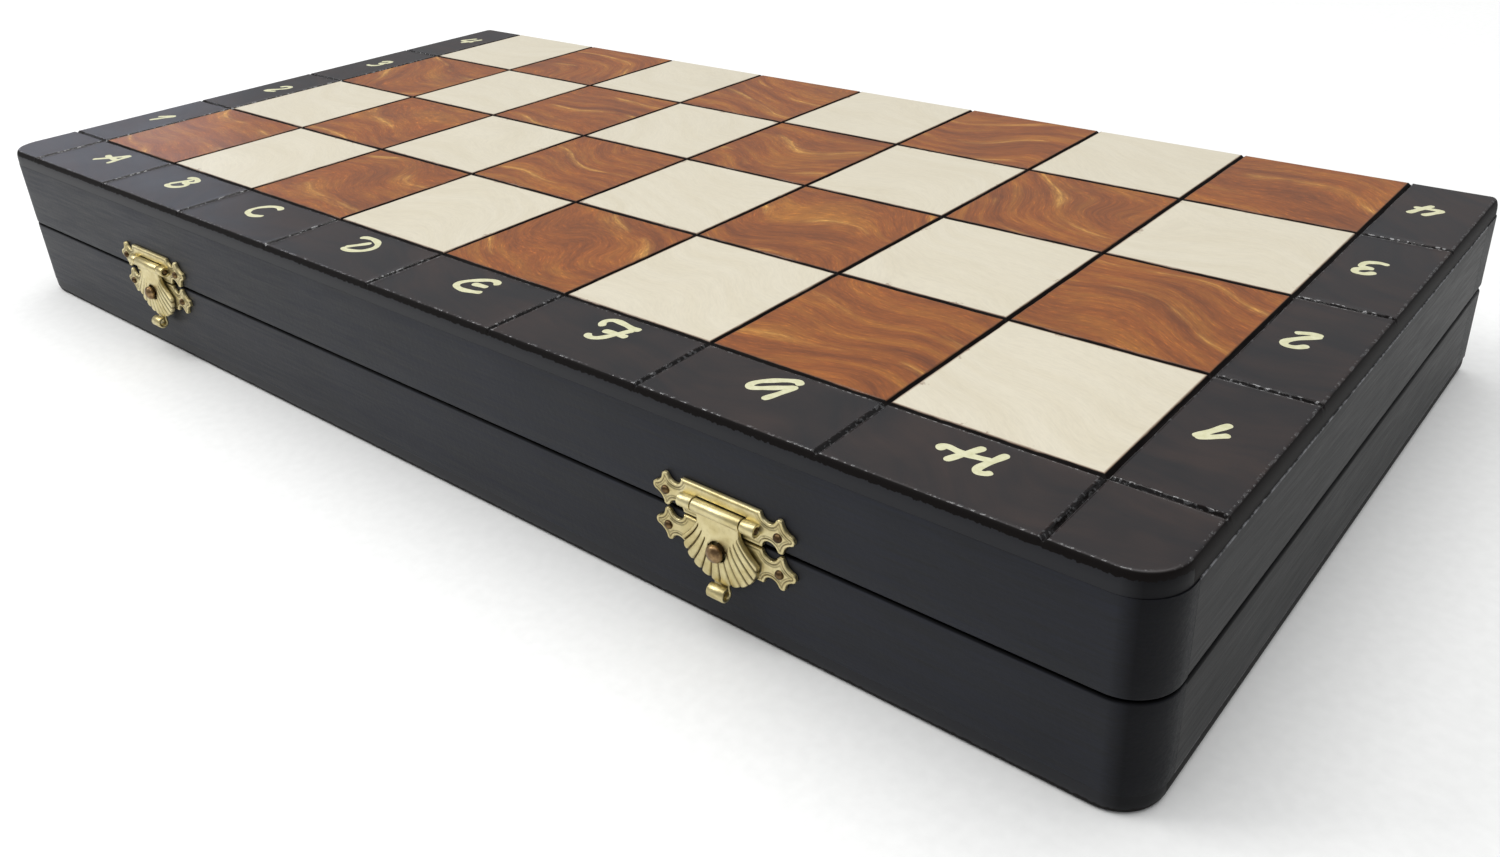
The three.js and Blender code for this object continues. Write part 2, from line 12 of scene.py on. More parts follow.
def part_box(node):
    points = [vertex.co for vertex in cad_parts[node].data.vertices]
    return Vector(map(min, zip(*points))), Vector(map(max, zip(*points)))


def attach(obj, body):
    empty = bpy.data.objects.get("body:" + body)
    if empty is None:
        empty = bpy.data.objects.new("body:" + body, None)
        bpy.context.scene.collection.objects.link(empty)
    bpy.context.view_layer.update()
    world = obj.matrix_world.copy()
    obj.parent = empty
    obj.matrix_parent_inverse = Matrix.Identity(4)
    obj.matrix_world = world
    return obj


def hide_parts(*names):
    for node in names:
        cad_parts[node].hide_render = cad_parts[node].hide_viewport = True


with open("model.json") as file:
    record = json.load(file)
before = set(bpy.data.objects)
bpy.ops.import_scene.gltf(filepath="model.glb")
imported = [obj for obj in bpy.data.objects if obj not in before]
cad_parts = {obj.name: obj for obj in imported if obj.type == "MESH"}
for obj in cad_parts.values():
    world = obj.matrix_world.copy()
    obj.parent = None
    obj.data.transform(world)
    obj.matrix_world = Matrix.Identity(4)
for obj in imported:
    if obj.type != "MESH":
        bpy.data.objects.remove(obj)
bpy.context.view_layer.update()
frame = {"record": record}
mm = 0.001
bodyOf = {node: body for body, nodes in frame["record"]["behaviour"]["bodies"].items() for node in nodes}
print("frame loaded:", len(bodyOf), "nodes")


# Lowest and highest corner of a CAD node in millimetres
def nodeBox(node):
    low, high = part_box(node)
    return np.array(low) / mm, np.array(high) / mm


panelLow, panelHigh = nodeBox("lower_playing_panel")
railLow, railHigh = nodeBox("lower_front_rail")
halfLength = panelHigh[0]
frontY, backY = panelLow[1], panelHigh[1]
caseHeight = nodeBox("upper_playing_panel")[1][2]
jointZ = caseHeight / 2
panelThick = panelHigh[2]
railBase, rimZ = railLow[2], railHigh[2]
railThick = nodeBox("lower_right_rail")[1][0] - nodeBox("lower_insert_tray")[1][0] - 0.6


# A point of the lower half's frame in the whole case: the upper half is the same half turned over
def toHalf(points, half):
    if half == "lower":
        return points
    return np.stack([-points[..., 0], points[..., 1], caseHeight - points[..., 2]], -1)


# Quads between neighbouring points of a rows by cols grid
def gridFaces(rows, cols, wrapRows=False, wrapCols=False, first=0):
    i, j = np.meshgrid(np.arange(rows if wrapRows else rows - 1),
                       np.arange(cols if wrapCols else cols - 1), indexing="ij")
    up, on = (i + 1) % rows, (j + 1) % cols
    return (np.stack([i * cols + j, up * cols + j, up * cols + on, i * cols + on], -1) + first).reshape(-1, 4)


# Joins (points, faces) blocks into one block
def joined(*blocks):
    points, faces, first = [], [], 0
    for some, quads in blocks:
        some = np.asarray(some, float).reshape(-1, 3)
        points.append(some)
        faces += [np.asarray(q) + first for q in quads]
        first += len(some)
    return np.concatenate(points), faces


# Stations from low to high that hold every fixed one, with gaps no wider than step
def stations(fixed, step):
    fixed = np.unique(np.round(fixed, 4))
    parts = [np.linspace(a, b, max(2, int(math.ceil((b - a) / step)) + 1))[:-1]
             for a, b in zip(fixed[:-1], fixed[1:])]
    return np.append(np.concatenate(parts), fixed[-1])


# Closed solid of stacked slices: loops is (levels, points, 3), each loop a closed outline
def stack(loops):
    levels, count = loops.shape[:2]
    caps = [np.arange(count)[None], (np.arange(count) + (levels - 1) * count)[None]]
    return loops.reshape(-1, 3), [gridFaces(levels, count, wrapCols=True), *caps]


# Closed solid from a front sheet and a back sheet that share their faces: edges with one face get a wall
def thickened(front, back, quads):
    count = len(front)
    edges = np.concatenate([quads[:, [k, (k + 1) % 4]] for k in range(4)])
    order = np.sort(edges, 1)
    _, first, times = np.unique(order, axis=0, return_index=True, return_counts=True)
    rim = edges[first[times == 1]]
    walls = np.stack([rim[:, 1], rim[:, 0], rim[:, 0] + count, rim[:, 1] + count], -1)
    return np.concatenate([front, back]), [quads, quads[:, ::-1] + count, walls]


# Surface of revolution: (radius, along) profile turned about the axis, its ends closed on the axis
def lathe(profile, sides=48):
    profile = np.asarray(profile, float)
    angle = fullTurn(sides)
    radius, along = profile[:, 0:1], profile[:, 1:2]
    points = np.stack([radius * np.cos(angle), along + 0 * angle, radius * np.sin(angle)], -1)
    return points.reshape(-1, 3), [gridFaces(len(profile), sides, wrapCols=True)]


# Tube about X between x0 and x1 with rounded ends: a ring section carried round the axis
def tube(outer, inner, x0, x1, ease=0.15, sides=32):
    near = [(inner, x0 + ease), (inner + ease, x0), (outer - ease, x0), (outer - ease * 0.3, x0 + ease * 0.3)]
    far = [(outer - ease * 0.3, x1 - ease * 0.3), (outer - ease, x1), (inner + ease, x1), (inner, x1 - ease)]
    section = near + [(outer, x0 + ease), (outer, x1 - ease)] + far
    angle = fullTurn(sides)
    radius, along = np.array(section).T[:, :, None]
    points = np.stack([along + 0 * angle, radius * np.cos(angle), radius * np.sin(angle)], -1)
    return points.reshape(-1, 3), [gridFaces(len(section), sides, wrapRows=True, wrapCols=True)]


# Smooth curve through a few points, as many stations as asked (Catmull-Rom blend of neighbours)
def smoothCurve(points, count):
    points = np.asarray(points, float)
    ends = [2 * points[0] - points[1]], [2 * points[-1] - points[-2]]
    padded = np.concatenate([ends[0], points, ends[1]])
    t = np.linspace(0, len(points) - 1 - 1e-9, count)
    k = t.astype(int)
    s = (t - k)[:, None]
    a, b, c, d = (padded[k + n] for n in range(4))
    line = 2 * b + (c - a) * s + (2 * a - 5 * b + 4 * c - d) * s ** 2
    return 0.5 * (line + (3 * b - a - 3 * c + d) * s ** 3)


# Quarter circle: 1 at an edge, falling to 0 where the share of the round's width reaches 1
def quarterFall(share):
    return 1 - np.sqrt(np.clip(1 - (1 - np.clip(share, 0, 1)) ** 2, 0, 1))


# As many angles as asked round a full circle
def fullTurn(count):
    return np.arange(count) * 2 * np.pi / count


# Slow wandering line: a few sines whose phases come from a seed
def wander(along, seed, waves=((83, 0.5), (31, 0.3), (11, 0.2))):
    phases = np.random.default_rng(seed).uniform(0, 2 * np.pi, len(waves))
    return sum((size * np.sin(2 * np.pi * along / length + phase) for (length, size),
                phase in zip(waves, phases)))


def sideWord(isLeft):
    return "left" if isLeft else "right"


# Mesh object in metres that rides on the body of the node it stands for
def makePiece(name, block, material, node, replaces=True, sharp=35, extra=None):
    points, faces = block[:2]
    mesh = bpy.data.meshes.new(name)
    mesh.from_pydata((points * mm).tolist(), [], [face for quads in faces for face in quads.tolist()])
    if len(block) > 2:      # which of the piece's materials each array of faces has
        mesh.polygons.foreach_set("material_index", np.repeat(block[2], [len(quads) for quads in faces]))
    materials = material if isinstance(material, (list, tuple)) else [material]
    for item in materials:
        mesh.materials.append(item)
    if extra:
        for label, values in extra.items():
            mesh.attributes.new(label, "FLOAT", "POINT").data.foreach_set("value", values.astype(np.float32))
    work = bmesh.new()
    work.from_mesh(mesh)
    bmesh.ops.remove_doubles(work, verts=work.verts, dist=2e-6)
    bmesh.ops.recalc_face_normals(work, faces=work.faces)
    work.to_mesh(mesh)
    work.free()
    mesh.shade_smooth()
    mesh.set_sharp_from_angle(angle=math.radians(sharp))
    piece = bpy.data.objects.new(name, mesh)
    bpy.context.scene.collection.objects.link(piece)
    nodes = [node] if isinstance(node, str) else node
    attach(piece, bodyOf[nodes[0]])
    if replaces:
        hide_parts(*nodes)
    return piece


# sRGB hex text to the linear colour that a shader takes
def colour(text):
    srgb = np.array([int(text[k:k + 2], 16) for k in (1, 3, 5)]) / 255
    linear = np.where(srgb <= 0.04045, srgb / 12.92, ((srgb + 0.055) / 1.055) ** 2.4)
    return (*linear.tolist(), 1.0)


# Adds a node to a tree: a second word of its kind is the operation, plain inputs go by position, a
# dictionary's by name, and stops are a colour ramp's
def addNode(tree, kind, *inputs, out=0, stops=None, **settings):
    kind, _, operation = kind.partition(" ")
    item = tree.nodes.new("ShaderNode" + kind)
    if operation:
        item.operation = operation
    for key, value in settings.items():
        setattr(item, key, value)
    if stops:
        while len(item.color_ramp.elements) < len(stops):
            item.color_ramp.elements.new(0.5)
        for element, (place, tint) in zip(item.color_ramp.elements, stops):
            element.position = place
            element.color = colour(tint) if isinstance(tint, str) else (tint, tint, tint, 1)
    given = {}
    for place, value in enumerate(inputs):
        given.update(value if isinstance(value, dict) else {place: value})
    for key, value in given.items():
        if isinstance(value, bpy.types.NodeSocket):
            tree.links.new(value, item.inputs[key])
        elif value is not None:
            item.inputs[key].default_value = value
    return item.outputs[out] if item.outputs else None


# New material with an empty tree, what adds nodes to that tree, and Object coordinates in millimetres
def newMaterial(name):
    material = bpy.data.materials.new(name)
    material.use_nodes = True
    material.node_tree.nodes.clear()
    add = partial(addNode, material.node_tree)
    place = add("TexCoord", out="Object")
    return material, add, add("Mapping", {"Vector": place, "Scale": (1 / mm, 1 / mm, 1 / mm)})


# Puts the finished shader on the surface; a constant goes straight on the shader's own socket
def closeMaterial(add, **shader):
    surface = add("BsdfPrincipled", {key.replace("_", " "): value for key, value in shader.items()})
    add("OutputMaterial", {"Surface": surface})


board = {
    "square": 40.0,
    "frontBorder": 20.5,
    "groove": 1.2,          # width at the surface
    "grooveDepth": 0.8,
    "edgeInset": 1.0,       # eased outer edge, seen from above
    "edgeDrop": 2.6,        # and down the wall
    "behindRail": 0.2,      # the panel's wall stands back from the rails
    "frontRadius": 8.5,
    "backRadius": 2.0,
    "wave": 64.0,           # strength of the waves in the grain
    "lateWood": 19.0,       # from one curly pale line to the next
    "lightWood": "#D8D0BB",
    "lightFigure": "#D3CAB3",
    "darkWood": "#8B4B14",
    "darkFigure": "#6F380E",
    "darkPale": "#A4671F",
    "goldFigure": "#D09A48",
    "scorch": "#6B3F1C",
    "burnt": "#0D0908",
    "frontPaintWithPaintedLight": "#14151B",
    "cornerAndJointShade": "#060607",
    "blackStain": "#141113",
    "brownStain": "#2B1F1B",
}
boardLow = np.array([-4 * board["square"], frontY + board["frontBorder"]])
fileLines = boardLow[0] + board["square"] * np.arange(9)
rankLines = boardLow[1] + board["square"] * np.arange(4)


# Birch plywood: rotary veneer whose fibres follow slow waves, stained or clear square by square between
# burnt grooves, black stain on the border and a black painted edge, one coat of semi-gloss nitro lacquer.
# The eased edge is darkened further as painted shade. The front wall carries a blue painted reflection of
# sky, and its turned corners carry a painted shade.
def birchPlywood():
    material, add, place = newMaterial("birch_plywood_stained_lacquered")
    x = add("SeparateXYZ", place, out="X")
    y = add("SeparateXYZ", place, out="Y")
    z = add("SeparateXYZ", place, out="Z")
    size = board["square"]
    u = add("Math DIVIDE", add("Math SUBTRACT", x, boardLow[0]), size)
    v = add("Math DIVIDE", add("Math SUBTRACT", y, boardLow[1]), size)
    cells = add("Math ADD", add("Math FLOOR", u), add("Math FLOOR", v))
    isLower = add("Math LESS_THAN", z, jointZ)
    isLight = add("Math FLOORED_MODULO", add("Math ADD", cells, isLower), 2.0)
    # Distance to the nearest groove line each way, then to the nearest of both
    toFile = add("Math MULTIPLY", add("Math PINGPONG", u, 0.5), size)
    toRank = add("Math MULTIPLY", add("Math PINGPONG", v, 0.5), size)
    toLine = add("Math MINIMUM", toFile, toRank)
    inFiles = add("Math LESS_THAN", add("Math ABSOLUTE", x), -boardLow[0])
    inRanks = add("Math GREATER_THAN", y, boardLow[1])
    onBoard = add("Math MULTIPLY", inFiles, inRanks)

    # Place across the grain = y + x / 4 + waves of some 12 mm; fibres run along lines of equal value
    slow = add("TexNoise", {"Vector": place, "Scale": 0.019, "Detail": 1.6, "Roughness": 0.42}, out="Fac")
    wave = add("Math MULTIPLY", add("Math SUBTRACT", slow, 0.5), board["wave"])
    slant = add("Math ADD", add("Math MULTIPLY", x, 0.25), y)
    across = add("Math ADD", slant, wave)
    along = add("Math MULTIPLY", add("Math SUBTRACT", x, add("Math MULTIPLY", y, 0.25)), 0.16)
    veneer = add("CombineXYZ", along, across, z)
    fibre = add("TexNoise", {"Vector": veneer, "Scale": 2.4, "Detail": 4.0, "Roughness": 0.75}, out="Fac")
    streaks = add("TexNoise", {"Vector": veneer, "Scale": 0.16, "Detail": 5.0, "Roughness": 0.62}, out="Fac")
    cloud = add("TexNoise", {"Vector": place, "Scale": 0.045, "Detail": 4.0, "Roughness": 0.55}, out="Fac")
    # Curly late-wood lines, coming and going along their length
    band = add("Math ADD", add("Math MULTIPLY", across, 1 / board["lateWood"]),
               add("Math MULTIPLY", streaks, 0.25))
    band = add("Math FRACT", band)
    lip = add("ValToRGB", band, stops=[(0.36, 0.0), (0.46, 0.3), (0.5, 1.0), (0.525, 0.3), (0.58, 0.0)])
    shown = add("ValToRGB", add("TexNoise", {"Vector": place, "Scale": 0.06, "Detail": 2.0}, out="Fac"),
                stops=[(0.42, 0.0), (0.62, 1.0)])
    lip = add("Math MULTIPLY", lip, shown)
    stain = add("ValToRGB", streaks,
                stops=[(0.3, board["darkFigure"]), (0.5, board["darkWood"]), (0.72, board["darkPale"])])
    gold = add("Math MULTIPLY", lip, add("Math MULTIPLY", fibre, 1.5))
    dark = add("Mix", {0: gold, 6: stain, 7: colour(board["goldFigure"])}, out=2, data_type="RGBA")
    fleck = add("ValToRGB", fibre, stops=[(0.32, 0.72), (0.5, 1.0), (0.6, 1.2), (0.7, 2.0)])
    dark = add("Mix", {0: 0.85, 6: dark, 7: fleck}, out=2, data_type="RGBA", blend_type="MULTIPLY")
    shade = add("ValToRGB", cloud, stops=[(0.35, 0.86), (0.62, 1.08)])
    dark = add("Mix", {0: 0.8, 6: dark, 7: shade}, out=2, data_type="RGBA", blend_type="MULTIPLY")
    pale = add("ValToRGB", streaks, stops=[(0.3, board["lightFigure"]), (0.6, board["lightWood"])])
    paleStreak = add("ValToRGB", fibre, stops=[(0.3, 0.93), (0.6, 1.04)])
    pale = add("Mix", {0: 0.8, 6: pale, 7: paleStreak}, out=2, data_type="RGBA", blend_type="MULTIPLY")
    squares = add("Mix", {0: isLight, 6: dark, 7: pale}, out=2, data_type="RGBA")

    # Scorch beside the groove: 0.3 mm, and here and there a brown smear of 1 to 3 mm
    ragged = add("TexNoise", {"Vector": place, "Scale": 0.3, "Detail": 5.0, "Roughness": 0.7}, out="Fac")
    reach = add("MapRange", ragged, 0.6, 0.74, 0.95, 3.2)
    scorch = add("MapRange", toLine, 0.6, reach, 0.8, 0.0)
    squares = add("Mix", {0: scorch, 6: squares, 7: colour(board["scorch"])}, out=2, data_type="RGBA")
    border = add("ValToRGB", add("Math MULTIPLY", cloud, streaks),
                 stops=[(0.16, board["blackStain"]), (0.36, board["brownStain"])])
    tint = add("Mix", {0: onBoard, 6: border, 7: squares}, out=2, data_type="RGBA")
    inGroove = add("MapRange", toLine, 0.5, 0.64, 1.0, 0.0)
    # The eased edge starts 1.1 mm inside the outline; it and the panel's side wall are made near black as
    # painted shade
    fromSide = add("Math SUBTRACT", halfLength, add("Math ABSOLUTE", x))
    # Distance to the outline with its round front corners = r - length of what x and y lack of r
    corner = board["frontRadius"]
    lackSide = add("Math SUBTRACT", corner, fromSide)
    lackFront = add("Math SUBTRACT", corner + frontY, y)
    lack = add("CombineXYZ", add("Math MAXIMUM", lackSide, 0.0), add("Math MAXIMUM", lackFront, 0.0))
    fromEdge = add("Math SUBTRACT", corner, add("VectorMath LENGTH", lack, out="Value"))
    fromFace = add("Math SUBTRACT", jointZ, add("Math ABSOLUTE", add("Math SUBTRACT", z, jointZ)))
    edgeShadeMask = add("MapRange", fromEdge, 0.75, 1.0, 1.0, 0.0)
    edgeShadeMask = add("Math MAXIMUM", edgeShadeMask, add("Math GREATER_THAN", fromFace, 0.85))
    # Below the eased edge the front is filled and painted like the front rail, tinted blue as a painted
    # reflection of sky
    rough = add("TexNoise", {"Vector": place, "Scale": 1.3, "Detail": 3.0}, out="Fac")
    onFrontWall = add("Math GREATER_THAN", add("Math ADD", fromFace, rough), 1.75)
    onFrontWall = add("Math MULTIPLY", onFrontWall, add("Math LESS_THAN", y, frontY + 8.0))
    # The turned corners of the front wall are darkened as painted shade
    turned = add("MapRange", fromSide, 4.5, 7.5, 0.75, 0.0)
    # The inner face is bare veneer washed with thin black stain
    inside = add("Math GREATER_THAN", fromFace, panelThick - 0.01)
    washed = add("ValToRGB", add("Math MULTIPLY", fibre, streaks),
                 stops=[(0.14, "#120E0C"), (0.34, "#33271F")])
    frontPaintWithPaintedLight = add("Mix", {0: turned, 6: colour(board["frontPaintWithPaintedLight"]), 7: colour(board["cornerAndJointShade"])},
                     out=2, data_type="RGBA")
    # Near black: the burnt grooves, plus the eased edge and side wall as painted shade
    burntAndShadedMask = add("Math MAXIMUM", inGroove, edgeShadeMask)
    tint = add("Mix", {0: burntAndShadedMask, 6: tint, 7: colour(board["burnt"])}, out=2, data_type="RGBA")
    tint = add("Mix", {0: onFrontWall, 6: tint, 7: frontPaintWithPaintedLight}, out=2, data_type="RGBA")
    tint = add("Mix", {0: inside, 6: tint, 7: washed}, out=2, data_type="RGBA")

    # Paint gathers as glossy beads in the border's grooves; burnt wood in the squares' grooves stays matt
    beads = add("TexNoise", {"Vector": place, "Scale": 1.1, "Detail": 3.0}, out="Fac")
    wet = add("Math SUBTRACT", add("Math SUBTRACT", 1.0, onBoard), edgeShadeMask)
    inRim = add("MapRange", toLine, 0.8, 0.95, 1.0, 0.0)
    wet = add("Math MULTIPLY", inRim, wet, use_clamp=True)
    # Dried drops along the front edge, just inside the eased band
    bead = add("Math ABSOLUTE", add("Math SUBTRACT", fromEdge, 1.1))
    bead = add("MapRange", bead, 0.1, 0.3, 1.0, 0.0)
    bead = add("Math MULTIPLY", bead, add("ValToRGB", beads, stops=[(0.52, 0.0), (0.6, 1.0)]))
    drops = add("Math MULTIPLY", wet, add("ValToRGB", beads, stops=[(0.55, 0.0), (0.6, 1.0)]))
    drops = add("Math MAXIMUM", drops, bead)
    wet = add("Math MAXIMUM", wet, bead)
    grooveBump = add("Math MULTIPLY", add("Math MULTIPLY", beads, wet), 8.5)
    height = add("Math ADD", add("Math MULTIPLY", fibre, 0.5), grooveBump)
    bump = add("Bump", {"Strength": 0.35, "Distance": 0.05 * mm, "Height": height})
    gloss = add("MapRange", cloud, 0.3, 0.7, 0.36, 0.44)
    gloss = add("Mix", {0: burntAndShadedMask, 2: gloss, 3: 0.62}, out=0)
    gloss = add("Mix", {0: wet, 2: gloss, 3: 0.14}, out=0)
    matt = add("Math SUBTRACT", burntAndShadedMask, wet, use_clamp=True)
    level = add("Mix", {0: matt, 2: 0.5, 3: 0.1}, out=0)
    wetLevel = add("Mix", {0: turned, 2: 0.3, 3: 0.06}, out=0)
    level = add("Mix", {0: add("Math MAXIMUM", wet, onFrontWall), 2: level, 3: wetLevel}, out=0)
    level = add("Math ADD", level, add("Math MULTIPLY", drops, 1.6))
    gloss = add("Mix", {0: onFrontWall, 2: gloss, 3: 0.48}, out=0)
    coat = add("Mix", {0: matt, 2: 0.12, 3: 0.0}, out=0)
    closeMaterial(add, Base_Color=tint, Roughness=gloss, IOR=1.48, Specular_IOR_Level=level, Normal=bump,
                  Coat_Weight=coat, Coat_Roughness=0.2)
    return material


# Panel of one half. The playing face is a height over a grid whose outer rows follow the case outline:
# height is the larger of the eased edge (a quarter ellipse of the distance to the outline) and the V grooves.
def playingPanel(half, material):
    length = halfLength - board["behindRail"]
    front, back = frontY + 0.02, backY - board["behindRail"]
    ease = np.linspace(0, np.pi / 2, 8)
    rings = np.concatenate([board["edgeInset"] * (1 - np.sin(ease)),
                            [1.5, board["backRadius"], 3, 4.2, 5.6, 7], [board["frontRadius"]]])
    half0 = board["groove"] / 2
    across = half0 * np.array([0.25, 0.5, 0.75, 1.0, 1.15, 1.3, 1.5])
    across = np.concatenate([-across[::-1], [0], across])
    xs = stations(np.concatenate([rings - length, length - rings, (fileLines[:, None] + across).ravel()]),
                  1.6)
    ys = stations(np.concatenate([front + rings, back - rings, (rankLines[:, None] + across).ravel()]), 1.6)
    x, y = np.meshgrid(xs, ys, indexing="ij")
    fromSide, fromFront, fromBack = length - np.abs(x), y - front, back - y
    depthIn = np.minimum(fromSide, np.minimum(fromFront, fromBack))
    # Round corners: squares about each corner's centre become arcs of the same distance from it
    for fromEnd, radius, way in ((fromFront, board["frontRadius"], -1), (fromBack, board["backRadius"], 1)):
        a, b = radius - fromSide, radius - fromEnd
        corner = (a > 0) & (b > 0)
        far = np.maximum(a, b)
        small = np.minimum(a, b) / np.where(far > 0, far, 1)
        turn = np.where(a >= b, small, 2 - small) * np.pi / 4
        centreX = np.sign(x) * (length - radius)
        centreY = (front + radius) if way < 0 else (back - radius)
        x = np.where(corner, centreX + np.sign(x) * far * np.cos(turn), x)
        y = np.where(corner, centreY + way * far * np.sin(turn), y)
    z = board["edgeDrop"] * quarterFall(depthIn / board["edgeInset"])

    seed = 1 if half == "lower" else 40
    for k, (here, along, lines) in enumerate(((x, y, fileLines), (y, x, rankLines))):
        for n, line in enumerate(lines):
            first = seed + 10 * k + n
            off = here - line - 0.1 * wander(along, first)
            wide = board["groove"] / 2 * (1 + 0.16 * wander(along, first + 50, ((17, 0.6), (4.3, 0.4))))
            deep = board["grooveDepth"] * (1 + 0.25 * wander(along, first + 90, ((9, 0.5), (3.4, 0.5))))
            z = np.maximum(z, deep * (1 - np.sqrt(off ** 2 + 0.1 ** 2) / wide))
            painted = (np.abs(x) > -boardLow[0]) | (y < boardLow[1])
            ridge = np.exp(-((np.abs(off) - wide - 0.12) / 0.11) ** 2) * np.where(painted, 0.045, 0.02)
            z = z - ridge * (1 + 0.8 * wander(along, first + 130, ((3.1, 0.5), (1.7, 0.5))))
    face = np.stack([x, y, z], -1)
    rows, cols = x.shape
    rim = np.concatenate([face[:, 0], face[-1, 1:], face[-2::-1, -1], face[0, -2:0:-1]])
    wall = np.stack([rim, rim], 0)
    wall[1, :, 2] = panelThick
    block = joined((face, [gridFaces(rows, cols)]),
                   (wall, [gridFaces(2, len(rim), wrapCols=True), (np.arange(len(rim)) + len(rim))[None]]))
    makePiece(f"{half}_board_panel", (toHalf(block[0], half), block[1]), material,
              f"{half}_playing_panel", sharp=40)


rail = {
    "seamEase": 0.1,        # small round beside the panel
    "rimEase": 0.9,         # round at the joint between the halves
    # Along x the paint is tinted blue, a painted reflection of sky; along y it is neutral and paler, painted
    # light
    "black": {"x": "#0C0E14", "y": "#0F0F10"},
    "worn": {"x": "#171A25", "y": "#1E1E1F"},
    # Pale line beside the panel on the side rails: a painted highlight
    "rubbed": "#77787A",
    "notchRadius": 2.2,
    "notchOut": 0.15,
    "notchHalf": 15.3,
    "mortiseBack": 9.1,
    "mortiseDrop": 1.2,
    "hingeX": 100.0,
}


# Alder rails under two sprayed coats of black water paint: the pores still show as fine lines along the
# rail. The front and back rails are tinted blue as a painted reflection, the side rails carry a pale painted
# highlight beside the panel, and the arrises at the joint and the turned corners are darkened as painted
# shade.
def blackPaintedAlder(axis):
    material, add, place = newMaterial(f"black_painted_alder_along_{axis}")
    along = (0.05, 1.0, 1.0) if axis == "x" else (1.0, 0.05, 1.0)
    line = add("Mapping", {"Vector": place, "Scale": along})
    pore = add("TexNoise", {"Vector": line, "Scale": 1.6, "Detail": 5.0, "Roughness": 0.62}, out="Fac")
    cloud = add("TexNoise", {"Vector": place, "Scale": 0.045, "Detail": 3.0}, out="Fac")
    mottle = add("TexNoise", {"Vector": place, "Scale": 0.9, "Detail": 3.0}, out="Fac")
    mixed = add("Math ADD", add("Math MULTIPLY", pore, 0.7), add("Math MULTIPLY", cloud, 0.3))
    # The axis picks the blue painted reflection or the paler painted light
    tint = add("ValToRGB", mixed, stops=[(0.36, rail["black"][axis]), (0.62, rail["worn"][axis])])
    height = add("Math ADD", add("Math MULTIPLY", pore, 0.8),
                 add("Math MULTIPLY", mottle, 0.8 if axis == "x" else 0.25))
    # A pale line beside the panel, a painted highlight, and the arrises at the joint, darkened and matt as
    # painted shade
    z = add("SeparateXYZ", place, out="Z")
    fromJoint = add("Math ABSOLUTE", add("Math SUBTRACT", z, jointZ))
    if axis == "y":
        line = add("MapRange", fromJoint, jointZ - panelThick - 0.35, jointZ - panelThick - 0.15, 0.0, 1.0)
        line = add("Math MULTIPLY", line, add("ValToRGB", mottle, stops=[(0.4, 0.15), (0.6, 1.0)]))
        tint = add("Mix", {0: line, 6: tint, 7: colour(rail["rubbed"])}, out=2, data_type="RGBA")
    # Arrises at the joint: painted shade in the groove between the two halves' rounded rims
    jointShade = add("MapRange", fromJoint, 0.3 if axis == "x" else 0.8, 0.6 if axis == "x" else 1.15, 1.0, 0.0)
    # The turned corner of the front and back rails is darkened: painted shade
    x = add("SeparateXYZ", place, out="X")
    turned = add("MapRange", add("Math ABSOLUTE", x), halfLength - 7.5, halfLength - 4.5, 0.0,
                 0.75 if axis == "x" else 0.0)
    # Painted shade at the joint and at the turned corners: near black, with little shine
    dull = add("Math MAXIMUM", jointShade, turned)
    tint = add("Mix", {0: dull, 6: tint, 7: colour(board["cornerAndJointShade"])}, out=2, data_type="RGBA")
    bump = add("Bump", {"Strength": 0.5, "Distance": (0.09 if axis == "x" else 0.1) * mm, "Height": height})
    gloss = add("MapRange", pore, 0.3, 0.7, 0.42, 0.55)
    level = add("Mix", {0: dull, 2: 0.3 if axis == "x" else 0.15, 3: 0.06}, out=0)
    closeMaterial(add, Base_Color=tint, Roughness=gloss, IOR=1.45, Specular_IOR_Level=level, Normal=bump)
    return material


# Height and inset of each slice of a rail, from the panel up to the rim, a quarter round at each arris
def railLevels(extra=(), small=rail["seamEase"], big=rail["rimEase"]):
    turn = np.linspace(0, np.pi / 2, 5)
    base = panelThick + 0.02
    foot = np.stack([base + small * (1 - np.cos(turn)), small * (1 - np.sin(turn))], -1)
    head = np.stack([rimZ - big * (1 - np.sin(turn)), big * (1 - np.cos(turn))], -1)
    wall = np.stack([stations([foot[-1, 0], *extra, head[0, 0]], 4.0)[1:-1]] * 2, -1)
    wall[:, 1] = 0
    return np.concatenate([foot, wall, head])


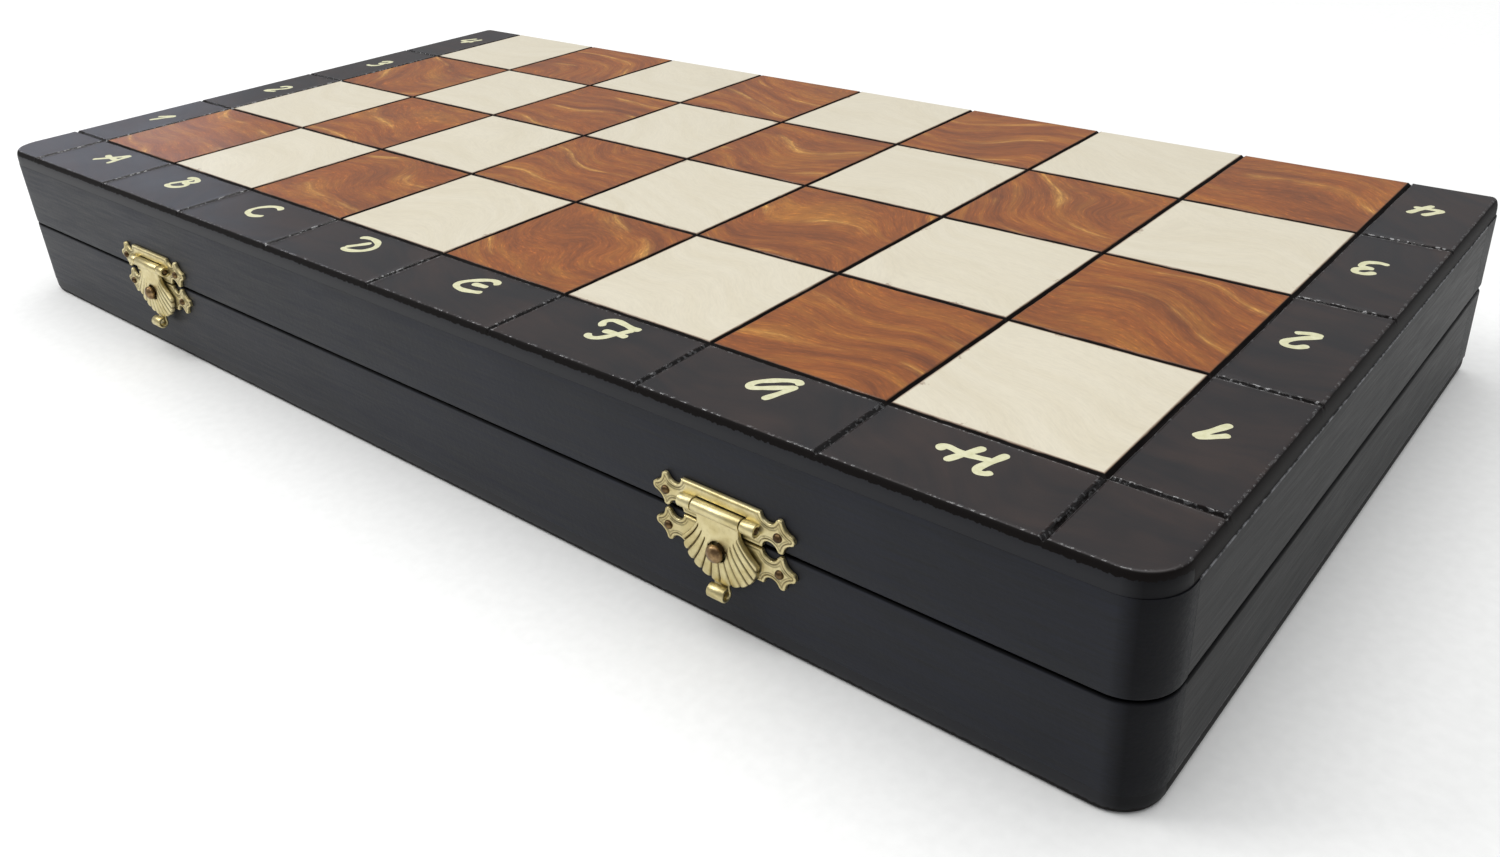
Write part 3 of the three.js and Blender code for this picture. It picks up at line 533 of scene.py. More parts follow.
# Front or back rail: each slice is the case outline, drawn in by that slice's inset and cut off at the
# rail's inner face
def longRail(half, isBack, material):
    radius = board["backRadius"] if isBack else board["frontRadius"]
    edgeY, innerY = (backY, backY - railThick) if isBack else (frontY, frontY + railThick)
    way = 1 if isBack else -1
    turn = np.linspace(0, np.pi / 2, 17)
    ends = [side * rail["hingeX"] + end * rail["notchHalf"] for side in (-1, 1) for end in (-1, 1)]
    run = stations([-halfLength + radius, halfLength - radius] + (ends if isBack else []), 6.0)
    # The front rail is filled and rubbed level with the panel before painting
    levels = railLevels([rimZ - 2.0, rimZ - rail["mortiseDrop"]]) if isBack else railLevels((), 0.04, 0.55)
    if isBack:
        low = levels[levels[:, 0] <= rimZ - rail["mortiseDrop"] + 1e-6]
        arch = np.stack([jointZ - rail["notchRadius"] * np.cos(np.linspace(0, 0.9, 8)), np.zeros(8)], -1)
        arch = arch[arch[:, 0] < low[-1, 0] - 0.05]
        low = np.concatenate([low, arch])
        low = low[np.argsort(low[:, 0])]
        levels = np.concatenate([low, low[-1:], levels[levels[:, 0] > rimZ - rail["mortiseDrop"] + 1e-6]])
    # Outline from the left end round to the right end, with its outward directions
    corner = np.stack([np.cos(turn), way * np.sin(turn)], -1)
    left = corner * [-1, 1]
    right = corner[::-1]
    centreL = np.array([-halfLength + radius, edgeY - way * radius])
    centreR = np.array([halfLength - radius, edgeY - way * radius])
    flat = np.stack([run[1:-1], np.full(len(run) - 2, edgeY)], -1)
    outline = np.concatenate([[[-halfLength, innerY]], centreL + radius * left, flat,
                              centreR + radius * right, [[halfLength, innerY]]])
    normal = np.concatenate([[[-1, 0]], left, np.tile([0, way], (len(flat), 1)), right, [[1, 0]]])
    if isBack:      # each recess has upright ends: its two end stations are doubled
        repeat = 1 + np.isin(np.round(outline[:, 0], 3), np.round(ends, 3))
        outline, normal = np.repeat(outline, repeat, 0), np.repeat(normal, repeat, 0)
    inner = stations([-halfLength, -halfLength + railThick, halfLength - railThick, halfLength], 12.0)[::-1]
    loops = []
    previous = None
    for z, inset in levels:
        outer = outline - normal * inset
        if isBack:
            recessed = np.zeros(len(outer), bool)
            for side in (-1, 1):
                inZone = np.abs(outer[:, 0] - side * rail["hingeX"]) < rail["notchHalf"] + 1e-3
                where = np.flatnonzero(inZone)
                recessed[where[1:-1]] = True
            above = jointZ - z
            isMortise = previous is not None and (z > rimZ - rail["mortiseDrop"] + 1e-6 or z == previous)
            if isMortise:
                outer[recessed, 1] = backY - rail["mortiseBack"]
            elif above < rail["notchRadius"]:
                arch = backY + rail["notchOut"] - math.sqrt(rail["notchRadius"] ** 2 - above ** 2)
                outer[recessed, 1] = min(arch, backY - inset)
        previous = z
        ease = max(0.0, inset) if z > railBase + 1 else 0.0
        inside = np.abs(inner) < halfLength - railThick - 1e-3
        backLine = np.stack([np.clip(inner, -halfLength + inset, halfLength - inset),
                             innerY + way * np.where(inside, ease, 0)], -1)[1:-1]
        loop = np.concatenate([outer, backLine])
        loops.append(np.concatenate([loop, np.full((len(loop), 1), z)], 1))
    block = stack(np.array(loops))
    word = "back" if isBack else "front"
    makePiece(f"{half}_{word}_rail_painted", (toHalf(block[0], half), block[1]), material,
              f"{half}_{word}_rail", sharp=30)


# Side rail: straight slices between the long rails
def sideRail(half, side, material):
    seam = 0.05
    ys = stations([frontY + railThick + seam, backY - railThick - seam], 8.0)
    loops = []
    for z, inset in railLevels():
        ease = inset if z > railBase + 1 else 0.0
        outer = np.stack([np.full(len(ys), halfLength - inset), ys], -1)
        inner = np.stack([np.full(len(ys), halfLength - railThick + ease), ys[::-1]], -1)
        loop = np.concatenate([outer, inner]) * [side, 1]
        loops.append(np.concatenate([loop, np.full((len(loop), 1), z)], 1))
    block = stack(np.array(loops))
    word = sideWord((side < 0) == (half == "lower"))
    makePiece(f"{half}_{word}_rail_painted", (toHalf(block[0], half), block[1]), material,
              f"{half}_{word}_rail", sharp=30)


boardMaterial = birchPlywood()
paintAlongX, paintAlongY = blackPaintedAlder("x"), blackPaintedAlder("y")
for half in ("lower", "upper"):
    playingPanel(half, boardMaterial)
    longRail(half, False, paintAlongX)
    longRail(half, True, paintAlongX)
    sideRail(half, -1, paintAlongY)
    sideRail(half, 1, paintAlongY)
print("panels and rails made")


lettering = {
    "stroke": 1.5,          # brush width
    "film": 0.05,           # how proud the paint stands
    "fileAhead": 8.0,       # letter centre in front of the squares
    "rankRight": 7.6,       # number centre outside the squares
    "rankLeft": 9.0,
    "rankAlong": 0.55,
    "cream": "#DAD8B4",
}
# Brush strokes of each sign about its centre, in millimetres
signs = {
    "A": [[(2.2, 4.7), (-0.8, 0.8), (-4.4, -3.1)], [(2.3, 4.8), (2.7, 1.2), (3.1, -2.7)],
          [(-4.6, 1.2), (-1.6, 0.6), (2.9, 0.3)]],
    "B": [[(-3.7, 3.4), (-2.3, 4.2), (-0.4, 4.3), (1.7, 3.2), (0.9, 1.7), (-1.3, 1.1)],
          [(-1.3, 1.1), (1.4, 0.6), (2.0, -0.9), (0.2, -2.6), (-2.2, -2.9), (-3.8, -1.9)],
          [(-0.6, 3.6), (-2.0, 1.0), (-3.6, -1.9)]],
    "C": [[(1.9, 3.3), (0.1, 4.2), (-2.3, 3.8), (-4.5, 1.8), (-5.1, -0.4), (-4.0, -2.1), (-1.6, -2.8),
           (0.2, -2.4), (2.0, -1.4)]],
    "D": [[(-4.7, 3.3), (-3.3, 4.2), (-0.7, 4.4), (2.1, 3.5), (3.7, 1.5), (3.2, -0.8), (1.2, -2.4),
           (-1.4, -3.0), (-2.9, -2.3)], [(0.7, 2.8), (-0.7, 0.7), (-2.7, -2.1)]],
    "E": [[(4.4, 3.0), (3.4, 4.2), (1.6, 4.3), (-0.6, 3.0), (-2.6, 1.2), (-3.4, -0.6), (-2.5, -1.9),
           (-0.2, -2.4), (2.4, -2.0), (4.9, -1.1)], [(-0.7, 0.9), (3.7, 1.3)]],
    "F": [[(-2.2, 1.7), (-3.3, 2.7), (-3.4, 4.0), (-2.0, 5.0), (0.7, 4.8), (3.5, 4.3), (5.4, 4.6)],
          [(4.2, 4.1), (2.8, 1.2), (1.4, -1.6), (-0.2, -2.9), (-1.7, -2.7), (-1.9, -1.7)],
          [(-0.9, 0.5), (1.6, 0.8), (5.3, 0.9)]],
    "G": [[(4.3, 4.3), (3.1, 5.3), (0.7, 4.3), (-2.3, 1.8), (-3.2, -0.1), (-2.1, -0.9), (0.8, 1.0),
           (4.0, 3.5)], [(4.1, 3.9), (3.2, 0.5), (1.9, -3.2)]],
    "H": [[(1.1, 4.8), (-0.7, 1.2), (-2.3, -2.1)],
          [(5.1, 5.0), (4.1, 2.1), (3.2, -0.9), (3.8, -2.1), (5.1, -1.7), (5.5, -0.8)],
          [(-3.9, 0.4), (-4.9, 1.1), (-3.8, 1.7), (-0.7, 1.3), (4.0, 1.9)]],
    "1": [[(1.9, 3.5), (0.0, 0.0), (-1.7, -3.4)], [(1.7, 3.5), (-0.7, 1.9), (-2.8, 0.0)]],
    "2": [[(-2.1, 1.9), (-0.4, 3.6), (1.5, 3.7), (2.0, 2.1), (0.2, -0.3), (-2.9, -2.9)],
          [(-3.0, -3.1), (-0.7, -3.2), (1.9, -2.1)]],
    "3": [[(-1.8, 1.9), (-0.2, 3.6), (1.7, 3.6), (1.9, 2.0), (0.4, 0.8), (-1.0, 0.4)],
          [(-1.0, 0.4), (1.3, 0.1), (1.7, -1.1), (1.0, -2.6), (-0.9, -3.5), (-2.9, -3.2)]],
    "4": [[(-0.3, 3.8), (-2.1, 1.3), (-3.2, -0.7), (-1.6, -1.1), (2.6, -0.6)],
          [(2.7, 3.8), (0.9, 0.0), (-0.9, -3.7)]],
    "5": [[(2.6, 3.7), (-0.3, 3.5)],
          [(-0.3, 3.5), (-1.3, 0.9), (0.7, 1.1), (1.9, -0.4), (0.9, -2.5), (-1.2, -3.3), (-2.9, -2.7)]],
    "6": [[(2.4, 3.6), (0.2, 2.8), (-1.9, 0.3), (-2.4, -2.0), (-1.0, -3.3), (1.1, -2.7), (1.8, -1.0),
           (0.4, 0.1), (-1.8, -0.9)]],
    "7": [[(-2.2, 3.1), (0.2, 3.6), (2.8, 3.5), (1.0, 0.6), (-0.9, -3.4)], [(-1.2, 0.3), (2.2, 0.5)]],
    "8": [[(2.2, 2.7), (0.7, 3.7), (-0.9, 2.8), (-0.1, 1.2), (1.0, -0.6), (0.6, -2.7), (-1.2, -3.3),
           (-2.4, -2.2), (-1.2, -0.4), (0.9, 1.1), (2.2, 2.7)]],
}


# Pad-printed cream ink: a smooth, slightly chalky film
def creamInk():
    material, add, place = newMaterial("cream_printing_ink")
    chalk = add("TexNoise", {"Vector": place, "Scale": 1.1, "Detail": 3.0}, out="Fac")
    tint = add("ValToRGB", chalk, stops=[(0.3, "#CBC9A0"), (0.65, lettering["cream"])])
    bump = add("Bump", {"Strength": 0.3, "Distance": 0.03 * mm, "Height": chalk})
    closeMaterial(add, Base_Color=tint, Roughness=0.5, IOR=1.5, Normal=bump)
    return material


# One brush stroke: a flat ellipse carried along a smooth line, its width drawn in to nothing by a round
# at each end
def brushStroke(points, width, film):
    line = smoothCurve(points, 14 * len(points))
    step = np.linalg.norm(np.diff(line, axis=0), axis=1)
    along = np.append(0, np.cumsum(step))
    way = np.gradient(line, axis=0)
    way /= np.linalg.norm(way, axis=1)[:, None]
    toEnd = np.minimum(along, along[-1] - along)
    half = width / 2 * (1 + 0.1 * np.sin(along * 1.3))
    half = half * np.sqrt(np.clip(1 - (1 - np.clip(toEnd / half, 0, 1)) ** 2, 0, 1))
    turn = fullTurn(14)
    side = np.stack([-way[:, 1], way[:, 0]], -1)
    flat = line[:, None] + side[:, None] * (half[:, None] * np.cos(turn))[..., None]
    lift = film * np.sin(turn) * np.minimum(1, half / width * 4)[:, None]
    points = np.concatenate([flat, lift[..., None]], -1)
    return points.reshape(-1, 3), [gridFaces(len(line), 14, wrapCols=True)]


# Signs of one border: each is laid at its centre with its own right and up directions on the playing face
def writeSigns(name, half, placed, material):
    faceZ = caseHeight if half == "upper" else 0.0
    outward = 1.0 if half == "upper" else -1.0
    blocks = []
    for sign, centre, right, up in placed:
        for number, stroke in enumerate(signs[sign]):
            points, faces = brushStroke(stroke, lettering["stroke"], lettering["film"] * (1 - 0.12 * number))
            flat = np.outer(points[:, 0], right) + np.outer(points[:, 1], up) + centre
            blocks.append((np.column_stack([flat, faceZ + outward * points[:, 2]]), faces))
    makePiece(name, joined(*blocks), material, f"{half}_playing_panel", replaces=False, sharp=60)


# File letters along the front border and rank numbers along both side borders of one half
def writeCoordinates(half, material):
    across = 1.0 if half == "upper" else -1.0
    letterY = boardLow[1] - lettering["fileAhead"]
    files, ranks = [], []
    for n, sign in enumerate("ABCDEFGH"):
        files.append((sign, ((n - 3.5) * board["square"], letterY), (across, 0), (0, 1)))
    for n in range(4):
        sign = str(n + 1 if half == "upper" else 8 - n)
        y = boardLow[1] + (n + lettering["rankAlong"]) * board["square"]
        # The right-hand numbers are read from the far side, the left-hand ones from the near side
        turned = -1 if half == "upper" else 1
        ranks.append((sign, (-boardLow[0] + lettering["rankRight"], y), (-1, 0), (0, turned)))
        ranks.append((sign, (boardLow[0] - lettering["rankLeft"], y), (1, 0), (0, -turned)))
    writeSigns(f"{half}_file_letters", half, files, material)
    writeSigns(f"{half}_rank_numbers", half, ranks, material)


ink = creamInk()
for half in ("lower", "upper"):
    writeCoordinates(half, ink)
print("lettering made")


latch = {
    "fromCentre": 100.0,
    "halfLength": 16.2,
    "halfHeight": 3.5,
    "plateUp": 3.75,        # plate centre above or below the joint
    "back": 0.1,
    "thick": 0.8,
    "axisUp": 3.7,
    "axisOut": 1.6,
    "knuckle": 1.3,
    "knuckleHalf": 5.5,
    "barrelHalf": 8.8,
    "pin": 0.6,
    "neckHalf": 4.8,
    "fanHalf": 8.5,
    "fanTop": 0.9,
    "fanWide": -3.7,
    "fanFoot": -10.6,
    "haspBack": 1.3,
    "haspThick": 0.8,
    "tabWidth": 3.9,
    "curl": 1.1,            # centre-line radius of the rolled tab
    "studDrop": 3.6,
    "studHole": 2.1,
    "nailOut": 12.9,
    "brass": "#DED2A4",
    "brassDull": "#C9BA86",
    "deep": "#55462A",
    "patina": "#42311F",
    "patinaWorn": "#806744",
    "patinaRubbed": "#6A5238",
    "patinaBare": "#A68A62",
}


# Stamped sheet brass, tumbled and lacquered: bright on the high places, brown in the stamped hollows,
# which the mesh carries as its own "hollow" value from 0 to 1. The same value darkens the eased rims and the
# barrels' sides towards the wall as painted shade, and makes a darker ring round the stud hole.
def stampedBrass():
    material, add, place = newMaterial("stamped_brass_lacquered")
    hollow = add("Attribute", out="Fac", attribute_name="hollow")
    speck = add("TexNoise", {"Vector": place, "Scale": 1.3, "Detail": 4.0, "Roughness": 0.6}, out="Fac")
    dull = add("TexNoise", {"Vector": place, "Scale": 0.25, "Detail": 3.0}, out="Fac")
    # Tarnish in the stamped lines, and painted shade on the rims and the barrels' sides towards the wall
    worn = add("Math ADD", hollow, add("Math MULTIPLY", add("Math SUBTRACT", speck, 0.5), 0.5),
               use_clamp=True)
    bright = add("ValToRGB", dull, stops=[(0.35, latch["brassDull"]), (0.65, latch["brass"])])
    tint = add("Mix", {0: worn, 6: bright, 7: colour(latch["deep"])}, out=2, data_type="RGBA")
    gloss = add("MapRange", speck, 0.3, 0.7, 0.34, 0.46)
    bump = add("Bump", {"Strength": 0.35, "Distance": 0.05 * mm, "Height": speck})
    closeMaterial(add, Base_Color=tint, Metallic=1.0, Roughness=gloss, Normal=bump)
    return material


# Steel nails in a dark bronze finish, rubbed through on the crown
def bronzedSteel(name, patina, worn):
    material, add, place = newMaterial(name)
    rub = add("TexNoise", {"Vector": place, "Scale": 0.9, "Detail": 4.0}, out="Fac")
    tint = add("ValToRGB", rub, stops=[(0.4, patina), (0.7, worn)])
    bump = add("Bump", {"Strength": 0.3, "Distance": 0.04 * mm, "Height": rub})
    closeMaterial(add, Base_Color=tint, Metallic=0.85, Roughness=0.33, Normal=bump)
    return material


# From latch coordinates (right, up from the joint, out from the wall) to the case
def onFront(points, side):
    return np.stack([side * latch["fromCentre"] + points[..., 0], frontY - points[..., 2],
                     jointZ + points[..., 1]], -1)


# Shortest distance from each point to an outline given as many close points
def distanceTo(points, outline):
    gaps = points.reshape(-1, 1, 2) - outline.reshape(1, -1, 2)
    return np.sqrt((gaps ** 2).sum(-1)).min(1).reshape(points.shape[:-1])


# Half height of a latch plate at x: a straight bar, a round notch, a round top lobe, a hollow and a round
# end lobe
def plateHalfHeight(x):
    a = np.abs(x)
    notch = np.where(np.abs(a - 10.75) < 1.75,
                     3.6 - np.sqrt(np.clip(1.75 ** 2 - (a - 10.75) ** 2, 0, None)), 9)
    lobe = np.where(a > 12.4, 2.65 + np.sqrt(np.clip(0.78 ** 2 - (a - 13.1) ** 2, 0, None)), 9)
    hollow = np.where(a > 13.7, 3.4 - np.sqrt(np.clip(2.55 ** 2 - (a - 16.2) ** 2, 0, None)), 9)
    end = np.where(a > 15.2, np.sqrt(np.clip(1.0 - (a - 15.2) ** 2, 0, None)), 9)
    return np.minimum.reduce([np.full_like(a, latch["halfHeight"]), notch, lobe, hollow, end])


# Latch plate: a grid between its lower and upper edge, its face rounded off at the outline, with stamped
# lines that follow the notches, and on the upper plate the window for the hasp's knuckle
def latchPlate(side, isUpper, brass):
    windowHalf, reach = latch["knuckleHalf"] + 0.3, latch["knuckle"] + 0.3
    lift = latch["axisUp"] - latch["plateUp"]
    xs = stations(np.concatenate([[-windowHalf, windowHalf], np.array([-1, 1]) * 9.0,
                                  np.array([-1, 1]) * latch["halfLength"]]), 0.16)
    marks = np.array([lift - reach, lift + reach]) / latch["halfHeight"]
    ts = stations(np.concatenate([[-1, -0.96, -0.9, 0.9, 0.96, 1], marks]), 0.06)
    x, t = np.meshgrid(xs, ts, indexing="ij")
    y = t * np.maximum(plateHalfHeight(x), 0.02)
    edgeX = np.linspace(-latch["halfLength"], latch["halfLength"], 900)
    edge = np.concatenate([np.stack([edgeX, plateHalfHeight(edgeX)], -1),
                           np.stack([edgeX, -plateHalfHeight(edgeX)], -1)])
    inside = distanceTo(np.stack([x, y], -1), edge)
    ease = 0.28
    drop = ease * quarterFall(inside / ease)
    ends = np.clip((np.abs(x) - 7.6) / 0.8, 0, 1)
    line = ends * (np.exp(-((inside - 0.62) / 0.13) ** 2) + 0.7 * np.exp(-((inside - 1.05) / 0.12) ** 2))
    line = line + (1 - ends) * 0.8 * np.exp(-((inside - 0.6) / 0.14) ** 2)
    swell = 0.22 * np.exp(-(((np.abs(x) - latch["nailOut"]) ** 2 + y ** 2) / 1.6))
    front = latch["back"] + latch["thick"] - drop - 0.14 * line + swell
    # Stamped lines darker as tarnish; the eased rim darker as painted shade
    hollow = np.clip(0.85 * line + drop / ease * 0.25, 0, 1)
    quads = gridFaces(*x.shape)
    if isUpper:
        inX = np.abs(x).ravel() < windowHalf + 1e-6
        inY = np.abs(y.ravel() - lift) < reach + 1e-6
        quads = quads[~(inX & inY)[quads].all(1)]
    up = (latch["plateUp"] if isUpper else -latch["plateUp"])
    top = np.stack([x, y + up, front], -1).reshape(-1, 3)
    under = np.stack([x, y + up, np.full_like(x, latch["back"])], -1).reshape(-1, 3)
    blocks = [thickened(top, under, quads)]
    values = [np.tile(hollow.ravel(), 2)]
    if isUpper:
        for way in (-1, 1):
            points, faces = tube(latch["knuckle"], latch["pin"] + 0.15, latch["knuckleHalf"] + 0.25,
                                 latch["barrelHalf"])
            points = np.column_stack([points[:, 0] * way, points[:, 1] + latch["axisUp"],
                                      points[:, 2] + latch["axisOut"]])
            blocks.append((points, faces))
            # The barrel is darker towards the wall: painted shade
            values.append(np.clip(1 - (points[:, 2] - latch["back"]) / 1.2, 0, 1) * 0.7)
    word, level = sideWord(side < 0), "upper" if isUpper else "lower"
    points, faces = joined(*blocks)
    makePiece(f"{word}_latch_{level}_plate_stamped", (onFront(points, side), faces), brass,
              f"latch_{word}_{level}_plate", sharp=40, extra={"hollow": np.concatenate(values)})


# Hasp: rays run from a straight neck to a scalloped fan edge. Between stamped lines the face swells into
# flutes, which start below a plain pointed shield; the whole face is slightly domed, with a round hole
# for the stud
def haspShell(side, brass):
    neck, wide = latch["neckHalf"], latch["fanHalf"]
    us = np.linspace(-1, 1, 181)
    ts = np.linspace(0, 1, 91)
    u, t = np.meshgrid(us, ts, indexing="ij")
    flutes = 5.5
    scallop = 1 + 0.02 * np.abs(np.sin(np.pi * flutes * np.abs(u)))
    edgeX = wide * np.sin(np.pi / 2 * u) * np.where(np.abs(u) > 0.12, scallop, 1)
    fall = (latch["fanFoot"] - latch["fanWide"]) * np.cos(np.pi / 2 * u) ** 0.95
    edgeUp = latch["fanWide"] + fall * scallop / 1.02
    neckT = (latch["axisUp"] - latch["fanTop"]) / (latch["axisUp"] - latch["fanWide"])
    spread = np.clip((t - neckT) / (1 - neckT), 0, 1) ** 1.35
    x = neck * u + (edgeX - neck * u) * spread
    # The sheet ends inside the wall of its knuckle, clear of the pin
    up = latch["axisUp"] + np.minimum((edgeUp - latch["axisUp"]) * t, -0.95)
    flat = np.stack([x, up], -1)
    edge = np.concatenate([flat[0], flat[-1], flat[:, -1]])
    inside = distanceTo(flat, edge)
    ease = 0.25
    drop = ease * quarterFall(inside / ease)
    started = np.clip((t - (0.53 - 0.16 * np.abs(u))) / 0.04, 0, 1) * np.clip((1.02 - np.abs(u)) / 0.03, 0, 1)
    phase = np.abs(np.sin(np.pi * flutes * u))
    line = started * np.exp(-(phase / 0.3) ** 2)
    dome = 0.4 * (1 - u ** 2) * np.sin(np.pi * np.clip((t - 0.25) / 0.75, 0, 1)) ** 0.8
    fromStud = np.hypot(x, up + latch["studDrop"])
    front = latch["haspBack"] + latch["haspThick"] + dome - drop - 0.3 * line + 0.1 * started * phase
    # Darker ring round the stud hole
    ring = 0.5 * np.exp(-((fromStud - latch["studHole"]) / 0.25) ** 2)
    hollow = np.clip(line + ring + 0.25 * drop / ease, 0, 1)
    quads = gridFaces(*u.shape)
    inHole = fromStud.ravel() < latch["studHole"]
    quads = quads[~inHole[quads].all(1)]
    pull = latch["studHole"] / np.maximum(fromStud, 0.05)
    x = np.where(fromStud < latch["studHole"], x * pull, x)
    up = np.where(fromStud < latch["studHole"], -latch["studDrop"] + (up + latch["studDrop"]) * pull, up)
    top = np.stack([x, up, front], -1).reshape(-1, 3)
    under = np.stack([x, up, np.maximum(front - 0.7, latch["haspBack"] - 0.05)], -1).reshape(-1, 3)
    shell = thickened(top, under, quads)
    knuckle, knuckleFaces = tube(latch["knuckle"], latch["pin"] + 0.15, -latch["knuckleHalf"],
                                 latch["knuckleHalf"])
    knuckle = knuckle + [0, latch["axisUp"], latch["axisOut"]]
    # Rolled tab: a rounded strip carried down and then round a circle, out from the wall
    turn = np.linspace(np.pi, 2 * np.pi + 1.9, 40)
    centre = np.array([latch["fanFoot"] - 1.5, latch["haspBack"] + 0.35 + latch["curl"]])
    arc = np.stack([centre[0] + latch["curl"] * np.sin(turn), centre[1] + latch["curl"] * np.cos(turn)], -1)
    drop = np.stack([np.linspace(latch["fanFoot"] + 1.0, centre[0], 12)[:-1], np.full(11, arc[0, 1])], -1)
    path = np.concatenate([drop, arc])
    way = np.gradient(path, axis=0)
    way /= np.linalg.norm(way, axis=1)[:, None]
    normal = np.stack([-way[:, 1], way[:, 0]], -1)
    corner = np.linspace(0, 2 * np.pi, 25)[:-1]
    half = latch["tabWidth"] / 2
    flatSide = np.sign(np.cos(corner)) * (np.abs(np.cos(corner)) > 0.02)
    sectionX = (half - 0.25) * flatSide + 0.25 * np.cos(corner)
    sectionN = 0.33 * np.sin(corner)
    narrow = 1 - 0.12 * np.exp(-((np.arange(len(path)) - 6) / 4.0) ** 2)
    tab = np.stack([sectionX[None] * narrow[:, None],
                    path[:, 0:1] + normal[:, 0:1] * sectionN, path[:, 1:2] + normal[:, 1:2] * sectionN], -1)
    points, faces = joined(shell, (knuckle, knuckleFaces), stack(tab))
    # The knuckle is darker towards the wall: painted shade
    values = np.concatenate([np.tile(hollow.ravel(), 2), np.clip(1.2 - knuckle[:, 2], 0, 1) * 0.7,
                             np.full(tab.shape[0] * tab.shape[1], 0.1)])
    word = sideWord(side < 0)
    makePiece(f"{word}_latch_hasp_stamped", (onFront(points, side), faces), brass,
              f"latch_{word}_hasp", sharp=40, extra={"hollow": values})


# Nail heads, studs and pins: short turned profiles standing out from the wall, or lying along the barrel
def turnedOnFront(name, side, at, profile, material, node, replaces, sides=32):
    points, faces = lathe(profile, sides)
    points = np.stack([points[:, 0] + at[0], points[:, 2] + at[1], points[:, 1]], -1)
    makePiece(name, (onFront(points, side), faces), material, node, replaces, sharp=50)


# Stud, four nails and pin of one latch; each profile is (radius, out from the wall)
def latchFittings(side, bronzed, rubbed):
    word = sideWord(side < 0)
    stud = [(0, 0.95), (1.2, 0.95), (1.2, 2.5), (1.3, 2.7), (1.68, 2.85), (1.8, 3.15), (1.73, 3.5),
            (1.48, 3.86), (1.05, 4.14), (0.6, 4.32), (0.25, 4.385), (0, 4.4)]
    turnedOnFront(f"{word}_latch_stud_domed", side, (0, -latch["studDrop"]), stud, rubbed,
                  f"latch_{word}_stud", True, 48)
    nail = [(0, 0.7), (0.84, 0.75), (0.92, 0.95), (0.9, 1.2), (0.76, 1.5), (0.48, 1.72), (0.2, 1.82),
            (0, 1.84)]
    for level, up in (("upper", latch["plateUp"]), ("lower", -latch["plateUp"])):
        for end, way in (("left", -1), ("right", 1)):
            turnedOnFront(f"{word}_latch_{level}_{end}_nail", side, (way * latch["nailOut"], up), nail,
                          bronzed, f"latch_{word}_{level}_plate", False)
    length = latch["barrelHalf"]
    profile = [(0, -length), (0.45, -length + 0.03), (0.6, -length + 0.2), (0.6, length - 0.2),
               (0.45, length - 0.03), (0, length)]
    points, faces = lathe(profile, 24)
    points = np.stack([points[:, 1], points[:, 0] + latch["axisUp"], points[:, 2] + latch["axisOut"]], -1)
    makePiece(f"{word}_latch_pin_turned", (onFront(points, side), faces), bronzed, f"latch_{word}_pin",
              sharp=50)


brass = stampedBrass()
bronzed = bronzedSteel("bronzed_steel_nail", latch["patina"], latch["patinaWorn"])
rubbed = bronzedSteel("rubbed_bronzed_steel_stud", latch["patinaRubbed"], latch["patinaBare"])
for side in (-1, 1):
    latchPlate(side, True, brass)
    latchPlate(side, False, brass)
    haspShell(side, brass)
    latchFittings(side, bronzed, rubbed)
print("latches made")


hinge = {
    "fromCentre": 100.0,
    "halfLength": 15.0,
    "barrel": 1.9,
    "pin": 0.8,
    "knuckleHalf": 5.0,
    "axisOut": 0.15,
    "leafBack": 8.95,
    "leafThick": 1.0,
    "screwX": 9.0,
    "screwHead": 2.0,       # radius
    "screwBack": 5.4,
}


# Steel strip, brass plated: thin, even plating with faint rolling marks along the barrel
def platedBrass():
    material, add, place = newMaterial("brass_plated_steel")
    rolled = add("Mapping", {"Vector": place, "Scale": (0.1, 1.0, 1.0)})
    mark = add("TexNoise", {"Vector": rolled, "Scale": 2.2, "Detail": 4.0}, out="Fac")
    tint = add("ValToRGB", mark, stops=[(0.3, "#A88B45"), (0.7, "#C9AE66")])
    bump = add("Bump", {"Strength": 0.25, "Distance": 0.04 * mm, "Height": mark})
    gloss = add("MapRange", mark, 0.3, 0.7, 0.26, 0.4)
    closeMaterial(add, Base_Color=tint, Metallic=1.0, Roughness=gloss, Normal=bump)
    return material


